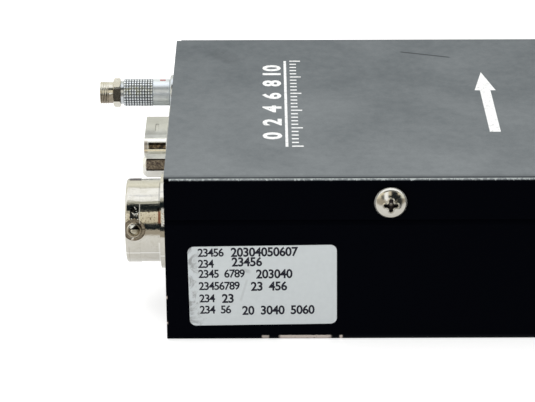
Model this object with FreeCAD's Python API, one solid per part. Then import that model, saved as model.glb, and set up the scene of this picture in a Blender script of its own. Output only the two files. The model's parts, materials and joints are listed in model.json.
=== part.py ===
import FreeCAD
import Part
import math
import os

# A thermal gas mass flow meter lying on one broad side.
# All sizes are in millimetres. While it is built, X = 0 is the outer face of the
# connector panel and +X runs towards the flow body, Y = 0 is the middle of the
# case and gas flows towards +Y, and Z = 0 is the lower broad side.
# The finished pieces are shifted so that the origin is under the middle of the part.

Vector = FreeCAD.Vector
X_AXIS = Vector(1, 0, 0)
Y_AXIS = Vector(0, 1, 0)
Z_AXIS = Vector(0, 0, 1)

# Fits
THREAD_GAP = 0.05
SEAT_GAP = 0.1
RUNNING_GAP = 0.05
PIN_GAP = 0.02

# Hexagons: the share of a corner's height that the end chamfer turns off
HEX_CORNER_TRIM = 0.6

# Case
COVER_LENGTH = 96.0
COVER_DEPTH = 80.0
COVER_HEIGHT = 38.0
SHEET = 1.0
FOLD_RADIUS = 0.9
COVER_FLANGE = 9.2
JOGGLE_RISE = 1.2
FOLD_RELIEF = 1.1
PANEL_SHEET = 1.2
PANEL_FOOT = 9.0
PANEL_FOOT_INSET = 5.0
PANEL_SCREW_PITCH = 50.0

# Screws of the case
COVER_SCREW_X = 47.3
COVER_SCREW_DROP = 4.9
COVER_SCREW_RADIUS = 1.75
COVER_SCREW_HEAD_RADIUS = 3.45
COVER_SCREW_HEAD_HEIGHT = 1.95
COVER_SCREW_RIM = 1.2
COVER_SCREW_ROUND = 0.45
COVER_SCREW_RECESS_RADIUS = 1.55
COVER_SCREW_RECESS_WIDTH = 0.75
COVER_SCREW_RECESS_DEPTH = 1.1
COVER_NUT_RADIUS = 2.85
COVER_NUT_HEIGHT = 2.6
M3_RADIUS = 1.5
M3_COUNTERSINK_RADIUS = 2.8
M3_COUNTERSINK_DEPTH = 0.9
M3_HEAD_RADIUS = 2.75
M3_HEAD_HEIGHT = 2.0
M3_DRIVE_FLATS = 2.5
M3_PANEL_DRIVE_FLATS = 2.0
M3_DRIVE_DEPTH = 1.2
PANEL_SCREW_LENGTH = 3.4
TRAY_SCREW_LENGTH = 6.5
TRAY_SCREW_HEIGHT = 14.0

# Label on the front of the case
LABEL_WIDTH = 31.5
LABEL_HEIGHT = 18.95
LABEL_THICKNESS = 0.15
LABEL_CORNER = 1.4
LABEL_LEFT = 4.85
LABEL_BOTTOM = 3.85
LABEL_TURN = 0.74

# Round power receptacle
POWER_INSET = 20.0
POWER_RADIUS = 9.2
POWER_STEP = 0.08
POWER_REACH = 9.1
POWER_STEP_X = -5.95
POWER_LIP_ROUND = 0.5
POWER_WALL = 1.1
POWER_FLANGE_RADIUS = 10.55
POWER_FLANGE_THICKNESS = 1.05
POWER_GASKET_THICKNESS = 0.45
POWER_GASKET_RADIUS = 9.9
POWER_SHANK_RADIUS = 7.9
POWER_SHANK_WALL = 1.2
POWER_SHANK_LENGTH = 8.0
POWER_FLOOR_THICKNESS = 1.0
POWER_FLOOR_DEPTH = 6.9
POWER_NUT_FLATS = 19.05
POWER_NUT_THICKNESS = 3.0
POWER_KEYWAY_WIDTHS = (2.2, 1.4, 1.4)
POWER_KEYWAY_DEPTH = 0.6
POWER_CONTACT_CIRCLE = 4.6
POWER_RING_COUNT = 6
POWER_CONTACT_RADIUS = 0.8
POWER_CONTACT_PROUD = 3.0
POWER_TAIL_RADIUS = 0.48
STUD_COUNT = 3
STUD_FIRST_ANGLE = 12.5
STUD_BEHIND_LIP = 2.0
STUD_SPOT_RADIUS = 2.4
STUD_SPOT_DEPTH = 0.45
STUD_HEAD_RADIUS = 1.65
STUD_HEAD_HEIGHT = 0.5
STUD_DISH_RADIUS = 0.95
STUD_DISH_DEPTH = 0.22
STUD_SHANK_RADIUS = 1.2

# Nine-way signal connector
SIGNAL_INSET = 19.2
SIGNAL_FLANGE_WIDTH = 30.8
SIGNAL_FLANGE_HEIGHT = 12.5
SIGNAL_FLANGE_CORNER = 1.2
SIGNAL_SHEET = 0.5
SIGNAL_WEB = 0.6
SIGNAL_WEB_INSET = 0.4
SIGNAL_REACH = 7.05
SIGNAL_WIDTH = 16.9
SIGNAL_HEIGHT = 8.4
SIGNAL_CORNER = 2.6
SIGNAL_SLANT = 10.0
SIGNAL_REAR_GROWTH = 1.1
SIGNAL_REAR_LENGTH = 6.0
SIGNAL_SCREW_PITCH = 24.99
SIGNAL_HOLE_RADIUS = 1.55
SIGNAL_PIN_PITCH = 2.77
SIGNAL_ROW_PITCH = 2.84
SIGNAL_PIN_RADIUS = 0.5
SIGNAL_PIN_SHY = 0.8
SIGNAL_UPPER_COUNT = 5
SIGNAL_LOWER_COUNT = 4
SIGNAL_DIMPLE_LENGTH = 4.0
SIGNAL_DIMPLE_WIDTH = 0.7
SIGNAL_DIMPLE_DEPTH = 0.2
JACKSCREW_FLATS = 4.75
JACKSCREW_RADIUS = 1.4
JACKSCREW_BORE_RADIUS = 1.2
JACKSCREW_BORE_DEPTH = 5.0
JACKSCREW_SHANK = 5.5
JACKSCREW_CHAMFER = 0.35
JACKSCREW_NOSE_LENGTH = 0.9
JACKSCREW_NOSE_DROP = 0.45
JACKSCREW_NUT_FLATS = 6.35
JACKSCREW_NUT_THICKNESS = 2.4

# Push-pull service connector
SERVICE_INSET = 13.8
SERVICE_DROP = 8.15
SERVICE_FLANGE_RADIUS = 4.15
SERVICE_FLANGE_THICKNESS = 1.2
SERVICE_FLANGE_ROUND = 0.5
SERVICE_SHANK_RADIUS = 3.5
SERVICE_SHANK_LENGTH = 9.5
SERVICE_NUT_RADIUS = 4.6
SERVICE_NUT_THICKNESS = 2.0
SERVICE_NUT_SLOT = 1.0
SERVICE_INSERT_LENGTH = 3.0
PLUG_NOSE_RADIUS = 2.6
PLUG_NOSE_LENGTH = 6.0
PLUG_NOSE_WALL = 0.6
PLUG_CORE_RADIUS = 2.7
PLUG_BORE_RADIUS = 1.6
PLUG_TAIL_RADIUS = 2.2
PLUG_TAIL_LENGTH = 1.6
PLUG_CONTACT_RADIUS = 0.25
PLUG_CONTACT_CIRCLE = 0.95
PLUG_CONTACT_COUNT = 4
SLEEVE_FRONT_RADIUS = 3.15
SLEEVE_FRONT_LENGTH = 4.0
KNURL_RADIUS = 3.3
KNURL_COLUMN_COUNT = 11
KNURL_PITCH = 0.63
KNURL_DEPTH = 0.22
SLEEVE_TRAVEL_GAP = 0.7
COLLET_FLATS = 6.0
COLLET_HEX_LENGTH = 1.8
COLLET_HEX_TURN = 15.0
COLLET_HEX_CHAMFER = 0.25
COLLET_RING_RADIUS = 2.52
COLLET_RING_LENGTH = 1.1
COLLET_END_RADIUS = 2.62
COLLET_RIB_COUNT = 5
COLLET_RIB_PITCH = 0.4
COLLET_RIB_DEPTH = 0.12

# Flow body and gas fittings
BODY_LENGTH = 25.4
BODY_CHAMFER = 0.6
TONGUE_LENGTH = 8.0
CHAMBER_RADIUS = 6.35
GLAND_SHANK_RADIUS = 7.05
GLAND_SHANK_LENGTH = 11.5
GLAND_COLLAR_FLATS = 19.05
GLAND_COLLAR_LENGTH = 6.0
GLAND_NECK_RADIUS = 6.2
GLAND_NECK_LENGTH = 2.5
GLAND_THREAD_RADIUS = 7.14
GLAND_THREAD_LENGTH = 12.6
GLAND_THREAD_CHAMFER = 0.8
GLAND_BEAD_CIRCLE = 4.6
GLAND_BEAD_RADIUS = 0.9
GLAND_BORE_RADIUS = 2.3
GLAND_SEAL_RADIUS = 8.6
GLAND_SEAL_HEIGHT = 1.2
BODY_MOUNT_SPACING_Y = 60.0
BODY_MOUNT_SPACING_Z = 25.0
BODY_MOUNT_RADIUS = 1.65
BODY_MOUNT_DEPTH = 8.0
BYPASS_LENGTH = 30.0
BYPASS_SLOT_COUNT = 12
BYPASS_SLOT_WIDTH = 0.8
BYPASS_SLOT_DEPTH = 2.4
SCREEN_THICKNESS = 0.6
SCREEN_SPACING = 3.0

# Thermal sensor
SENSOR_BLOCK_LENGTH = 6.0
SENSOR_BLOCK_WIDTH = 46.0
SENSOR_BLOCK_HEIGHT = 18.0
SENSOR_PORT_SPACING = 24.0
SENSOR_PORT_RADIUS = 0.8
SENSOR_TUBE_RADIUS = 0.45
SENSOR_TUBE_REACH = 11.0
SENSOR_TUBE_BEND = 3.0
SENSOR_COIL_RADIUS = 1.3
SENSOR_COIL_LENGTH = 6.0
SENSOR_COIL_SPACING = 8.0
SENSOR_COVER_LENGTH = 18.0
SENSOR_COVER_WIDTH = 32.0
SENSOR_COVER_HEIGHT = 16.0
SENSOR_COVER_WALL = 0.8
SENSOR_SEAL_RADIUS = 1.9
SENSOR_SEAL_SECTION = 0.5
SENSOR_SCREW_SPACING = 39.0
SENSOR_SCREW_LENGTH = 12.0

# Circuit boards
BOARD_THICKNESS = 1.6
BOARD_WIDTH = 68.0
BOARD_STANDOFF = 6.0
BOARD_START = 9.5
BOARD_END_GAP = 2.0
BOARD_HOLE_INSET_X = 8.0
BOARD_HOLE_INSET_Y = 5.0
SPACER_FLATS = 5.5
BOARD_SCREW_LENGTH = 5.0
INTERFACE_X = 11.0
INTERFACE_TOP_GAP = 2.0
PIN_TAIL = 0.6
HEADER_WIDTH = 30.0
HEADER_HEIGHT = 2.5
HEADER_DEPTH = 2.6
CAPACITOR_RADIUS = 4.0
CAPACITOR_HEIGHT = 9.0
CHIP_HEIGHT = 1.6
CHIPS = ((16.0, 12.0, 0.0), (10.0, 8.0, 20.0), (7.0, 5.0, -20.0))

# Planes that several pieces share
HALF_DEPTH = COVER_DEPTH / 2
FLANGE_EDGE = COVER_HEIGHT - COVER_FLANGE
JOGGLE = SHEET + RUNNING_GAP
JOGGLE_START = FLANGE_EDGE - JOGGLE_RISE - SEAT_GAP
JOGGLE_SHIFT = SHEET * math.tan(math.atan2(JOGGLE, JOGGLE_RISE) / 2)
TRAY_TOP = COVER_HEIGHT - 2 * SHEET
LOWER_HALF = HALF_DEPTH - SHEET - SEAT_GAP
UPPER_HALF = HALF_DEPTH - JOGGLE - SHEET - SEAT_GAP
LOWER_TOP = JOGGLE_START - JOGGLE_SHIFT - SEAT_GAP
INSIDE_TOP = COVER_HEIGHT - SHEET - SEAT_GAP
COVER_SCREW_Z = COVER_HEIGHT - COVER_SCREW_DROP
MIDDLE_Z = COVER_HEIGHT / 2
POWER_Y = POWER_INSET - HALF_DEPTH
POWER_Z = MIDDLE_Z
SIGNAL_Y = HALF_DEPTH - SIGNAL_INSET
SIGNAL_Z = MIDDLE_Z
SERVICE_Y = HALF_DEPTH - SERVICE_INSET
SERVICE_Z = COVER_HEIGHT - SERVICE_DROP
POWER_FLANGE_FRONT = -POWER_GASKET_THICKNESS - POWER_FLANGE_THICKNESS
POWER_FLOOR_X = POWER_FLOOR_DEPTH - POWER_REACH
POWER_SEAT_X = POWER_FLOOR_X + POWER_FLOOR_THICKNESS
POWER_BORE = POWER_RADIUS - POWER_WALL
POWER_SHANK_BORE = POWER_SHANK_RADIUS - POWER_SHANK_WALL
STUD_X = STUD_BEHIND_LIP - POWER_REACH
SIGNAL_BACK_X = 0.0
SIGNAL_WEB_X = -SIGNAL_SHEET
SIGNAL_FRONT_X = SIGNAL_WEB_X - SIGNAL_WEB
SIGNAL_FACE_X = SIGNAL_FRONT_X - SIGNAL_SHEET
JACKSCREW_Y = SIGNAL_Y - SIGNAL_SCREW_PITCH / 2
SLEEVE_FRONT_X = -SERVICE_FLANGE_THICKNESS - RUNNING_GAP
SLEEVE_SHOULDER_X = SLEEVE_FRONT_X - SLEEVE_FRONT_LENGTH
SLEEVE_BACK_X = SLEEVE_SHOULDER_X - KNURL_COLUMN_COUNT * KNURL_PITCH
COLLET_X = SLEEVE_BACK_X - SLEEVE_TRAVEL_GAP
COLLET_RING_X = COLLET_X - COLLET_HEX_LENGTH
COLLET_END_X = COLLET_RING_X - COLLET_RING_LENGTH
PLUG_END_X = COLLET_END_X - COLLET_RIB_COUNT * COLLET_RIB_PITCH
BODY_START = COVER_LENGTH
BODY_END = BODY_START + BODY_LENGTH
BODY_AXIS_X = (BODY_START + BODY_END) / 2
TONGUE_START = BODY_START - TONGUE_LENGTH
BOARD_BOTTOM = SHEET + BOARD_STANDOFF
BOARD_TOP = BOARD_BOTTOM + BOARD_THICKNESS
BOARD_END = TONGUE_START - BOARD_END_GAP
PIN_END_X = INTERFACE_X + BOARD_THICKNESS + PIN_TAIL
SENSOR_FACE_X = TONGUE_START - SENSOR_BLOCK_LENGTH


def block(x_range, y_range, z_range):
    """A box between two values along each axis."""
    corner = Vector(x_range[0], y_range[0], z_range[0])
    length = x_range[1] - x_range[0]
    width = y_range[1] - y_range[0]
    height = z_range[1] - z_range[0]
    return Part.makeBox(length, width, height, corner)


def rod(start, direction, length, radius):
    """A cylinder from a point along a direction."""
    return Part.makeCylinder(radius, length, start, direction)


def tube(start, direction, length, radius, bore):
    """A ring or tube from a point along a direction."""
    return rod(start, direction, length, radius).cut(rod(start, direction, length, bore))


def turned(start, direction, profile):
    """A lathe part: the profile lists (distance along, radius) round a closed outline."""
    along = Vector(direction).normalize()
    side = along.cross(Z_AXIS)
    if side.Length < 0.5:
        side = along.cross(X_AXIS)
    points = [start + along * a + side * r for a, r in profile]
    outline = Part.Face(Part.makePolygon(points + points[:1]))
    return outline.revolve(start, along, 360)


def hexagon(start, direction, length, across_flats, flat_normal):
    """A hexagonal bar with one flat facing flat_normal."""
    along = Vector(direction).normalize()
    across = Vector(flat_normal).normalize()
    side = along.cross(across)
    corner = across_flats / math.sqrt(3)
    points = []
    for step in range(6):
        angle = math.radians(30 + 60 * step)
        points.append(start + across * (corner * math.cos(angle)) + side * (corner * math.sin(angle)))
    outline = Part.Face(Part.makePolygon(points + points[:1]))
    return outline.extrude(along * length)


def chamfered_hexagon(start, direction, length, across_flats, flat_normal, chamfer):
    """A hexagonal bar whose corners are turned off at both ends."""
    corner = across_flats / math.sqrt(3)
    flat = across_flats / 2
    drop = (corner - flat) * HEX_CORNER_TRIM
    profile = [(0, 0), (0, corner - chamfer - drop), (drop, corner), (length - drop, corner)]
    profile += [(length, corner - chamfer - drop), (length, 0)]
    bar = hexagon(start, direction, length, across_flats, flat_normal)
    return bar.common(turned(start, direction, profile))


def profile_along_x(points, x_start, x_end):
    """A closed outline of (y, z) points extruded along X."""
    corners = [Vector(x_start, y, z) for y, z in points]
    face = Part.Face(Part.makePolygon(corners + corners[:1]))
    return face.extrude(X_AXIS * (x_end - x_start))


def edges_along(shape, axis, test):
    """The straight edges of a shape that run along an axis and pass a test on their middle."""
    found = []
    for edge in shape.Edges:
        if len(edge.Vertexes) != 2:
            continue
        run = edge.Vertexes[1].Point - edge.Vertexes[0].Point
        straight = abs(run.Length - edge.Length) < 1e-6
        if straight and abs(abs(run.dot(axis)) - run.Length) < 1e-6 and test(edge.CenterOfMass):
            found.append(edge)
    return found


def fused(shapes):
    """One solid from pieces that meet."""
    first = shapes[0]
    for shape in shapes[1:]:
        first = first.fuse(shape)
    return first.removeSplitter()


def mirrored_y(shape):
    """The same shape on the other side of the middle plane Y = 0."""
    return shape.mirror(Vector(0, 0, 0), Y_AXIS)


def on_both_sides(shape):
    """A shape and its mirror image as two separate solids."""
    return Part.makeCompound([shape, mirrored_y(shape)])


def cover_screw_shape(start, outward, grip):
    """A pan-head screw: low dome, cross recess and plain shank; start is under its head."""
    rim = COVER_SCREW_HEAD_RADIUS
    height = COVER_SCREW_HEAD_HEIGHT
    rise = height - COVER_SCREW_RIM
    sphere = (rim * rim + rise * rise) / (2 * rise)
    head = rod(start, outward, height, rim)
    dome = Part.makeSphere(sphere, start + outward * (height - sphere))
    head = head.common(dome)
    shoulder = start + outward * COVER_SCREW_RIM
    head = head.makeFillet(COVER_SCREW_ROUND, rings_at(head, shoulder))
    shank = rod(start - outward * grip, outward, grip, COVER_SCREW_RADIUS)
    screw = fused([head, shank])
    side = outward.cross(Z_AXIS)
    tip = start + outward * (height - COVER_SCREW_RECESS_DEPTH)
    for across in (side, Z_AXIS):
        screw = screw.cut(cross_arm(tip, outward, across))
    return screw


def cross_arm(tip, outward, across):
    """One tapered arm of a cross recess: wide at the mouth and narrow at the tip."""
    half = COVER_SCREW_RECESS_WIDTH / 2
    thin = across.cross(outward)
    mouth = tip + outward * (2 * COVER_SCREW_RECESS_DEPTH)
    reach = 2 * COVER_SCREW_RECESS_RADIUS
    corners = [tip - across * half, tip + across * half, mouth + across * reach, mouth - across * reach]
    corners = [corner - thin * half for corner in corners]
    face = Part.Face(Part.makePolygon(corners + corners[:1]))
    return face.extrude(thin * (2 * half))


def countersunk_screw(start, outward, length):
    """A flush M3 screw with a hexagon socket; start is on the outer face."""
    profile = [(0, 0), (0, M3_COUNTERSINK_RADIUS), (-M3_COUNTERSINK_DEPTH, M3_RADIUS)]
    profile += [(-length, M3_RADIUS), (-length, 0)]
    screw = turned(start, outward, profile)
    drive_start = start - outward * M3_DRIVE_DEPTH
    drive = hexagon(drive_start, outward, M3_DRIVE_DEPTH, M3_PANEL_DRIVE_FLATS, X_AXIS)
    return screw.cut(drive)


def countersink(start, outward, depth):
    """The hole that a flush M3 screw sits in."""
    mouth = M3_COUNTERSINK_RADIUS + THREAD_GAP
    neck = M3_RADIUS + THREAD_GAP
    profile = [(0, 0), (0, mouth), (-M3_COUNTERSINK_DEPTH, neck), (-depth, neck), (-depth, 0)]
    return turned(start, outward, profile)


def cap_screw(start, outward, length):
    """A socket-head M3 screw; start is under its head."""
    head = rod(start, outward, M3_HEAD_HEIGHT, M3_HEAD_RADIUS)
    shank = rod(start - outward * length, outward, length, M3_RADIUS)
    flat = Z_AXIS if abs(outward.dot(Z_AXIS)) < 0.5 else X_AXIS
    socket_start = start + outward * (M3_HEAD_HEIGHT - M3_DRIVE_DEPTH)
    socket = hexagon(socket_start, outward, M3_DRIVE_DEPTH, M3_DRIVE_FLATS, flat)
    return fused([head, shank]).cut(socket)


def cover_upper():
    """The upper folded cover: a broad plate with a flange down each side."""
    outside = block((0, COVER_LENGTH), (-HALF_DEPTH, HALF_DEPTH), (FLANGE_EDGE, COVER_HEIGHT))
    folds = edges_along(outside, X_AXIS, lambda c: c.z > COVER_HEIGHT - SHEET)
    outside = outside.makeFillet(FOLD_RADIUS, folds)
    inner_half = HALF_DEPTH - SHEET
    inside = block((0, COVER_LENGTH), (-inner_half, inner_half), (FLANGE_EDGE, COVER_HEIGHT - SHEET))
    cover = outside.cut(inside)
    for side in (-1, 1):
        hole_start = Vector(COVER_SCREW_X, side * HALF_DEPTH, COVER_SCREW_Z)
        cover = cover.cut(rod(hole_start, Y_AXIS * -side, SHEET, COVER_SCREW_RADIUS + THREAD_GAP))
        relief_y = sorted((side * HALF_DEPTH, side * (HALF_DEPTH - FOLD_RELIEF)))
        relief_z = (COVER_HEIGHT - FOLD_RELIEF, COVER_HEIGHT)
        cover = cover.cut(block((0, FOLD_RELIEF), relief_y, relief_z))
    return cover


def tray_side(offset):
    """One wall line of the tray section, from floor to rim, moved inwards by a thickness."""
    outer = HALF_DEPTH - offset
    shift = JOGGLE_SHIFT * offset / SHEET
    step_low = JOGGLE_START - shift
    step_high = JOGGLE_START + JOGGLE_RISE - shift
    return [(outer, offset), (outer, step_low), (outer - JOGGLE, step_high), (outer - JOGGLE, TRAY_TOP)]


def tray_lower():
    """The lower folded tray: floor and two walls that step in under the cover's flanges."""
    outer = tray_side(0)
    inner = tray_side(SHEET)
    right = outer + inner[::-1]
    left = [(-y, z) for y, z in right[::-1]]
    tray = profile_along_x(right + left, 0, COVER_LENGTH)
    folds = edges_along(tray, X_AXIS, lambda c: c.z < SHEET / 2 and abs(c.y) > HALF_DEPTH - SHEET / 2)
    tray = tray.makeFillet(FOLD_RADIUS, folds)
    for side in (-1, 1):
        wall = Vector(COVER_SCREW_X, side * (HALF_DEPTH - JOGGLE), COVER_SCREW_Z)
        tray = tray.cut(rod(wall, Y_AXIS * -side, SHEET, COVER_SCREW_RADIUS + THREAD_GAP))
        tray = tray.cut(countersink(tray_screw_place(side), Y_AXIS * side, SHEET + SEAT_GAP))
        foot = panel_screw_place(side)
        tray = tray.cut(countersink(foot, Z_AXIS * -1, SHEET + SEAT_GAP))
    return tray


def tray_screw_place(side):
    """Where a tray screw meets the outer face of a wall."""
    return Vector(TONGUE_START + TONGUE_LENGTH / 2, side * HALF_DEPTH, TRAY_SCREW_HEIGHT)


def panel_screw_place(side):
    """Where a panel screw meets the underside."""
    return Vector(PANEL_FOOT / 2 + PANEL_SHEET / 2, side * PANEL_SCREW_PITCH / 2, 0)


def connector_panel():
    """The end plate that carries the connectors, with a foot folded back along the tray floor."""
    right = [(LOWER_HALF, SHEET), (LOWER_HALF, LOWER_TOP), (UPPER_HALF, LOWER_TOP), (UPPER_HALF, INSIDE_TOP)]
    left = [(-y, z) for y, z in right[::-1]]
    plate = profile_along_x(right + left, 0, PANEL_SHEET)
    foot_half = LOWER_HALF - PANEL_FOOT_INSET
    foot = block((0, PANEL_FOOT), (-foot_half, foot_half), (SHEET, SHEET + PANEL_SHEET))
    panel = fused([plate, foot])
    panel = panel.cut(rod(power_centre(0), X_AXIS, PANEL_SHEET, POWER_SHANK_RADIUS + SEAT_GAP))
    panel = panel.cut(rod(service_centre(0), X_AXIS, PANEL_SHEET, SERVICE_SHANK_RADIUS + SEAT_GAP))
    panel = panel.cut(d_prism(0, PANEL_SHEET, SIGNAL_REAR_GROWTH + 2 * SEAT_GAP))
    for side in (-1, 1):
        hole = Vector(0, SIGNAL_Y + side * SIGNAL_SCREW_PITCH / 2, SIGNAL_Z)
        panel = panel.cut(rod(hole, X_AXIS, PANEL_SHEET, SIGNAL_HOLE_RADIUS))
        tapped = panel_screw_place(side) + Z_AXIS * SHEET
        panel = panel.cut(rod(tapped, Z_AXIS, PANEL_SHEET, M3_RADIUS + THREAD_GAP))
    return panel


def d_prism(x_start, x_end, growth):
    """The D outline of the signal connector, grown all round, extruded along X."""
    half_width = (SIGNAL_WIDTH + growth) / 2
    half_height = (SIGNAL_HEIGHT + growth) / 2
    lean = half_height * math.tan(math.radians(SIGNAL_SLANT))
    corners = [(half_width + lean / 2, half_height), (-half_width - lean / 2, half_height)]
    corners += [(-half_width + lean, -half_height), (half_width - lean, -half_height)]
    corners = [(y + SIGNAL_Y, z + SIGNAL_Z) for y, z in corners]
    prism = profile_along_x(corners, x_start, x_end)
    rounds = edges_along(prism, X_AXIS, lambda c: True)
    return prism.makeFillet(SIGNAL_CORNER + growth / 2, rounds)


def signal_plate(x_start, x_end, inset):
    """A flange plate of the signal connector with its two screw holes."""
    half_width = SIGNAL_FLANGE_WIDTH / 2 - inset
    half_height = SIGNAL_FLANGE_HEIGHT / 2 - inset
    y_range = (SIGNAL_Y - half_width, SIGNAL_Y + half_width)
    z_range = (SIGNAL_Z - half_height, SIGNAL_Z + half_height)
    plate = block((x_start, x_end), y_range, z_range)
    plate = plate.makeFillet(SIGNAL_FLANGE_CORNER, edges_along(plate, X_AXIS, lambda c: True))
    for side in (-1, 1):
        hole = Vector(x_start, SIGNAL_Y + side * SIGNAL_SCREW_PITCH / 2, SIGNAL_Z)
        plate = plate.cut(rod(hole, X_AXIS, x_end - x_start, SIGNAL_HOLE_RADIUS))
    return plate


def signal_shell_front():
    """The drawn metal shell round the pins, with a dimple on each long side."""
    skirt = d_prism(-SIGNAL_REACH, SIGNAL_FRONT_X, 0)
    shell = fused([skirt, signal_plate(SIGNAL_FACE_X, SIGNAL_FRONT_X, 0)])
    shell = shell.cut(d_prism(-SIGNAL_REACH, SIGNAL_FRONT_X, -2 * SIGNAL_SHEET))
    middle_x = (SIGNAL_FACE_X - SIGNAL_REACH) / 2
    x_range = (middle_x - SIGNAL_DIMPLE_WIDTH / 2, middle_x + SIGNAL_DIMPLE_WIDTH / 2)
    y_range = (SIGNAL_Y - SIGNAL_DIMPLE_LENGTH / 2, SIGNAL_Y + SIGNAL_DIMPLE_LENGTH / 2)
    top = SIGNAL_Z + SIGNAL_HEIGHT / 2
    bottom = SIGNAL_Z - SIGNAL_HEIGHT / 2
    shell = shell.cut(block(x_range, y_range, (top - SIGNAL_DIMPLE_DEPTH, top)))
    return shell.cut(block(x_range, y_range, (bottom, bottom + SIGNAL_DIMPLE_DEPTH)))


def signal_shell_rear():
    """The rear shell, clinched behind the insulator and passing through the panel."""
    skirt = d_prism(SIGNAL_BACK_X, SIGNAL_REAR_LENGTH, SIGNAL_REAR_GROWTH)
    shell = fused([signal_plate(SIGNAL_WEB_X, SIGNAL_BACK_X, 0), skirt])
    return shell.cut(d_prism(SIGNAL_WEB_X, SIGNAL_REAR_LENGTH, SIGNAL_REAR_GROWTH - 2 * SIGNAL_SHEET))


def signal_pin_places():
    """The (y, z) places of the nine pins in two rows."""
    places = []
    rows = ((SIGNAL_UPPER_COUNT, SIGNAL_ROW_PITCH / 2), (SIGNAL_LOWER_COUNT, -SIGNAL_ROW_PITCH / 2))
    for count, height in rows:
        for index in range(count):
            offset = (index - (count - 1) / 2) * SIGNAL_PIN_PITCH
            places.append((SIGNAL_Y + offset, SIGNAL_Z + height))
    return places


def signal_insulator():
    """The moulded insulator between the two shells, bored for its pins."""
    web = signal_plate(SIGNAL_FRONT_X, SIGNAL_WEB_X, SIGNAL_WEB_INSET)
    rear = d_prism(SIGNAL_WEB_X, SIGNAL_REAR_LENGTH, SIGNAL_REAR_GROWTH - 2 * SIGNAL_SHEET)
    insulator = fused([web, rear])
    length = SIGNAL_REAR_LENGTH - SIGNAL_FRONT_X
    for y, z in signal_pin_places():
        hole = rod(Vector(SIGNAL_FRONT_X, y, z), X_AXIS, length, SIGNAL_PIN_RADIUS + PIN_GAP)
        insulator = insulator.cut(hole)
    return insulator


def signal_pins():
    """Nine pins from just inside the shell's mouth to the interface board."""
    front = SIGNAL_PIN_SHY - SIGNAL_REACH
    length = PIN_END_X - front
    point = SIGNAL_PIN_RADIUS / 2
    profile = [(0, 0), (0, point), (point, SIGNAL_PIN_RADIUS), (length, SIGNAL_PIN_RADIUS), (length, 0)]
    pins = [turned(Vector(front, y, z), X_AXIS, profile) for y, z in signal_pin_places()]
    return Part.makeCompound(pins)


def signal_jackscrew():
    """The hexagonal jackscrew left on the near side, tapped at its outer end."""
    start = Vector(-SIGNAL_REACH, JACKSCREW_Y, SIGNAL_Z)
    length = SIGNAL_REACH + SIGNAL_FACE_X
    corner = JACKSCREW_FLATS / math.sqrt(3)
    end = JACKSCREW_FLATS / 2 - JACKSCREW_NOSE_DROP
    nose = [(0, 0), (0, end), (JACKSCREW_NOSE_LENGTH, corner), (length, corner), (length, 0)]
    head = hexagon(start, X_AXIS, length, JACKSCREW_FLATS, Z_AXIS).common(turned(start, X_AXIS, nose))
    shank = rod(start + X_AXIS * length, X_AXIS, JACKSCREW_SHANK, JACKSCREW_RADIUS)
    thread = rod(start, X_AXIS, JACKSCREW_BORE_DEPTH, JACKSCREW_BORE_RADIUS)
    return fused([head, shank]).cut(thread)


def signal_nut():
    """The nut of the jackscrew behind the panel."""
    start = Vector(PANEL_SHEET, JACKSCREW_Y, SIGNAL_Z)
    thickness = JACKSCREW_NUT_THICKNESS
    nut = chamfered_hexagon(start, X_AXIS, thickness, JACKSCREW_NUT_FLATS, Z_AXIS, JACKSCREW_CHAMFER)
    return nut.cut(rod(start, X_AXIS, JACKSCREW_NUT_THICKNESS, JACKSCREW_RADIUS + THREAD_GAP))


def radial(angle):
    """The direction at an angle above the horizontal that points at the near side."""
    turn = math.radians(angle)
    return Vector(0, -math.cos(turn), math.sin(turn))


def power_centre(x):
    """The point on the power receptacle's axis at a distance along X."""
    return Vector(x, POWER_Y, POWER_Z)


def stud_angles():
    """The angles of the bayonet studs round the barrel."""
    return [STUD_FIRST_ANGLE + 360 / STUD_COUNT * index for index in range(STUD_COUNT)]


def power_shell():
    """The receptacle's barrel, flange and threaded shank in one turned piece."""
    rear_radius = POWER_RADIUS - POWER_STEP
    bore = POWER_BORE
    shank = POWER_SHANK_RADIUS
    profile = [(-POWER_REACH, bore), (-POWER_REACH, POWER_RADIUS), (POWER_STEP_X, POWER_RADIUS)]
    profile += [(POWER_STEP_X, rear_radius), (POWER_FLANGE_FRONT, rear_radius)]
    profile += [(POWER_FLANGE_FRONT, POWER_FLANGE_RADIUS), (-POWER_GASKET_THICKNESS, POWER_FLANGE_RADIUS)]
    profile += [(-POWER_GASKET_THICKNESS, shank), (POWER_SHANK_LENGTH, shank)]
    profile += [(POWER_SHANK_LENGTH, POWER_SHANK_BORE), (POWER_SEAT_X, POWER_SHANK_BORE)]
    profile += [(POWER_SEAT_X, bore)]
    shell = turned(power_centre(0), X_AXIS, profile)
    lip = [e for e in shell.Edges if is_ring(e, -POWER_REACH, POWER_RADIUS)]
    shell = shell.makeFillet(POWER_LIP_ROUND, lip)
    for index, angle in enumerate(stud_angles()):
        shell = shell.cut(spot_face(angle))
        shell = shell.cut(keyway(angle + 180 / STUD_COUNT, POWER_KEYWAY_WIDTHS[index]))
    return shell


def rings_at(shape, centre):
    """The circular edges of a shape round one point."""
    rings = [edge for edge in shape.Edges if isinstance(edge.Curve, Part.Circle)]
    return [edge for edge in rings if (edge.Curve.Center - centre).Length < 1e-6]


def is_ring(edge, x, radius):
    """Whether an edge is a full circle of a radius in the plane at x."""
    if not isinstance(edge.Curve, Part.Circle):
        return False
    return abs(edge.Curve.Center.x - x) < 1e-6 and abs(edge.Curve.Radius - radius) < 1e-6


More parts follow.
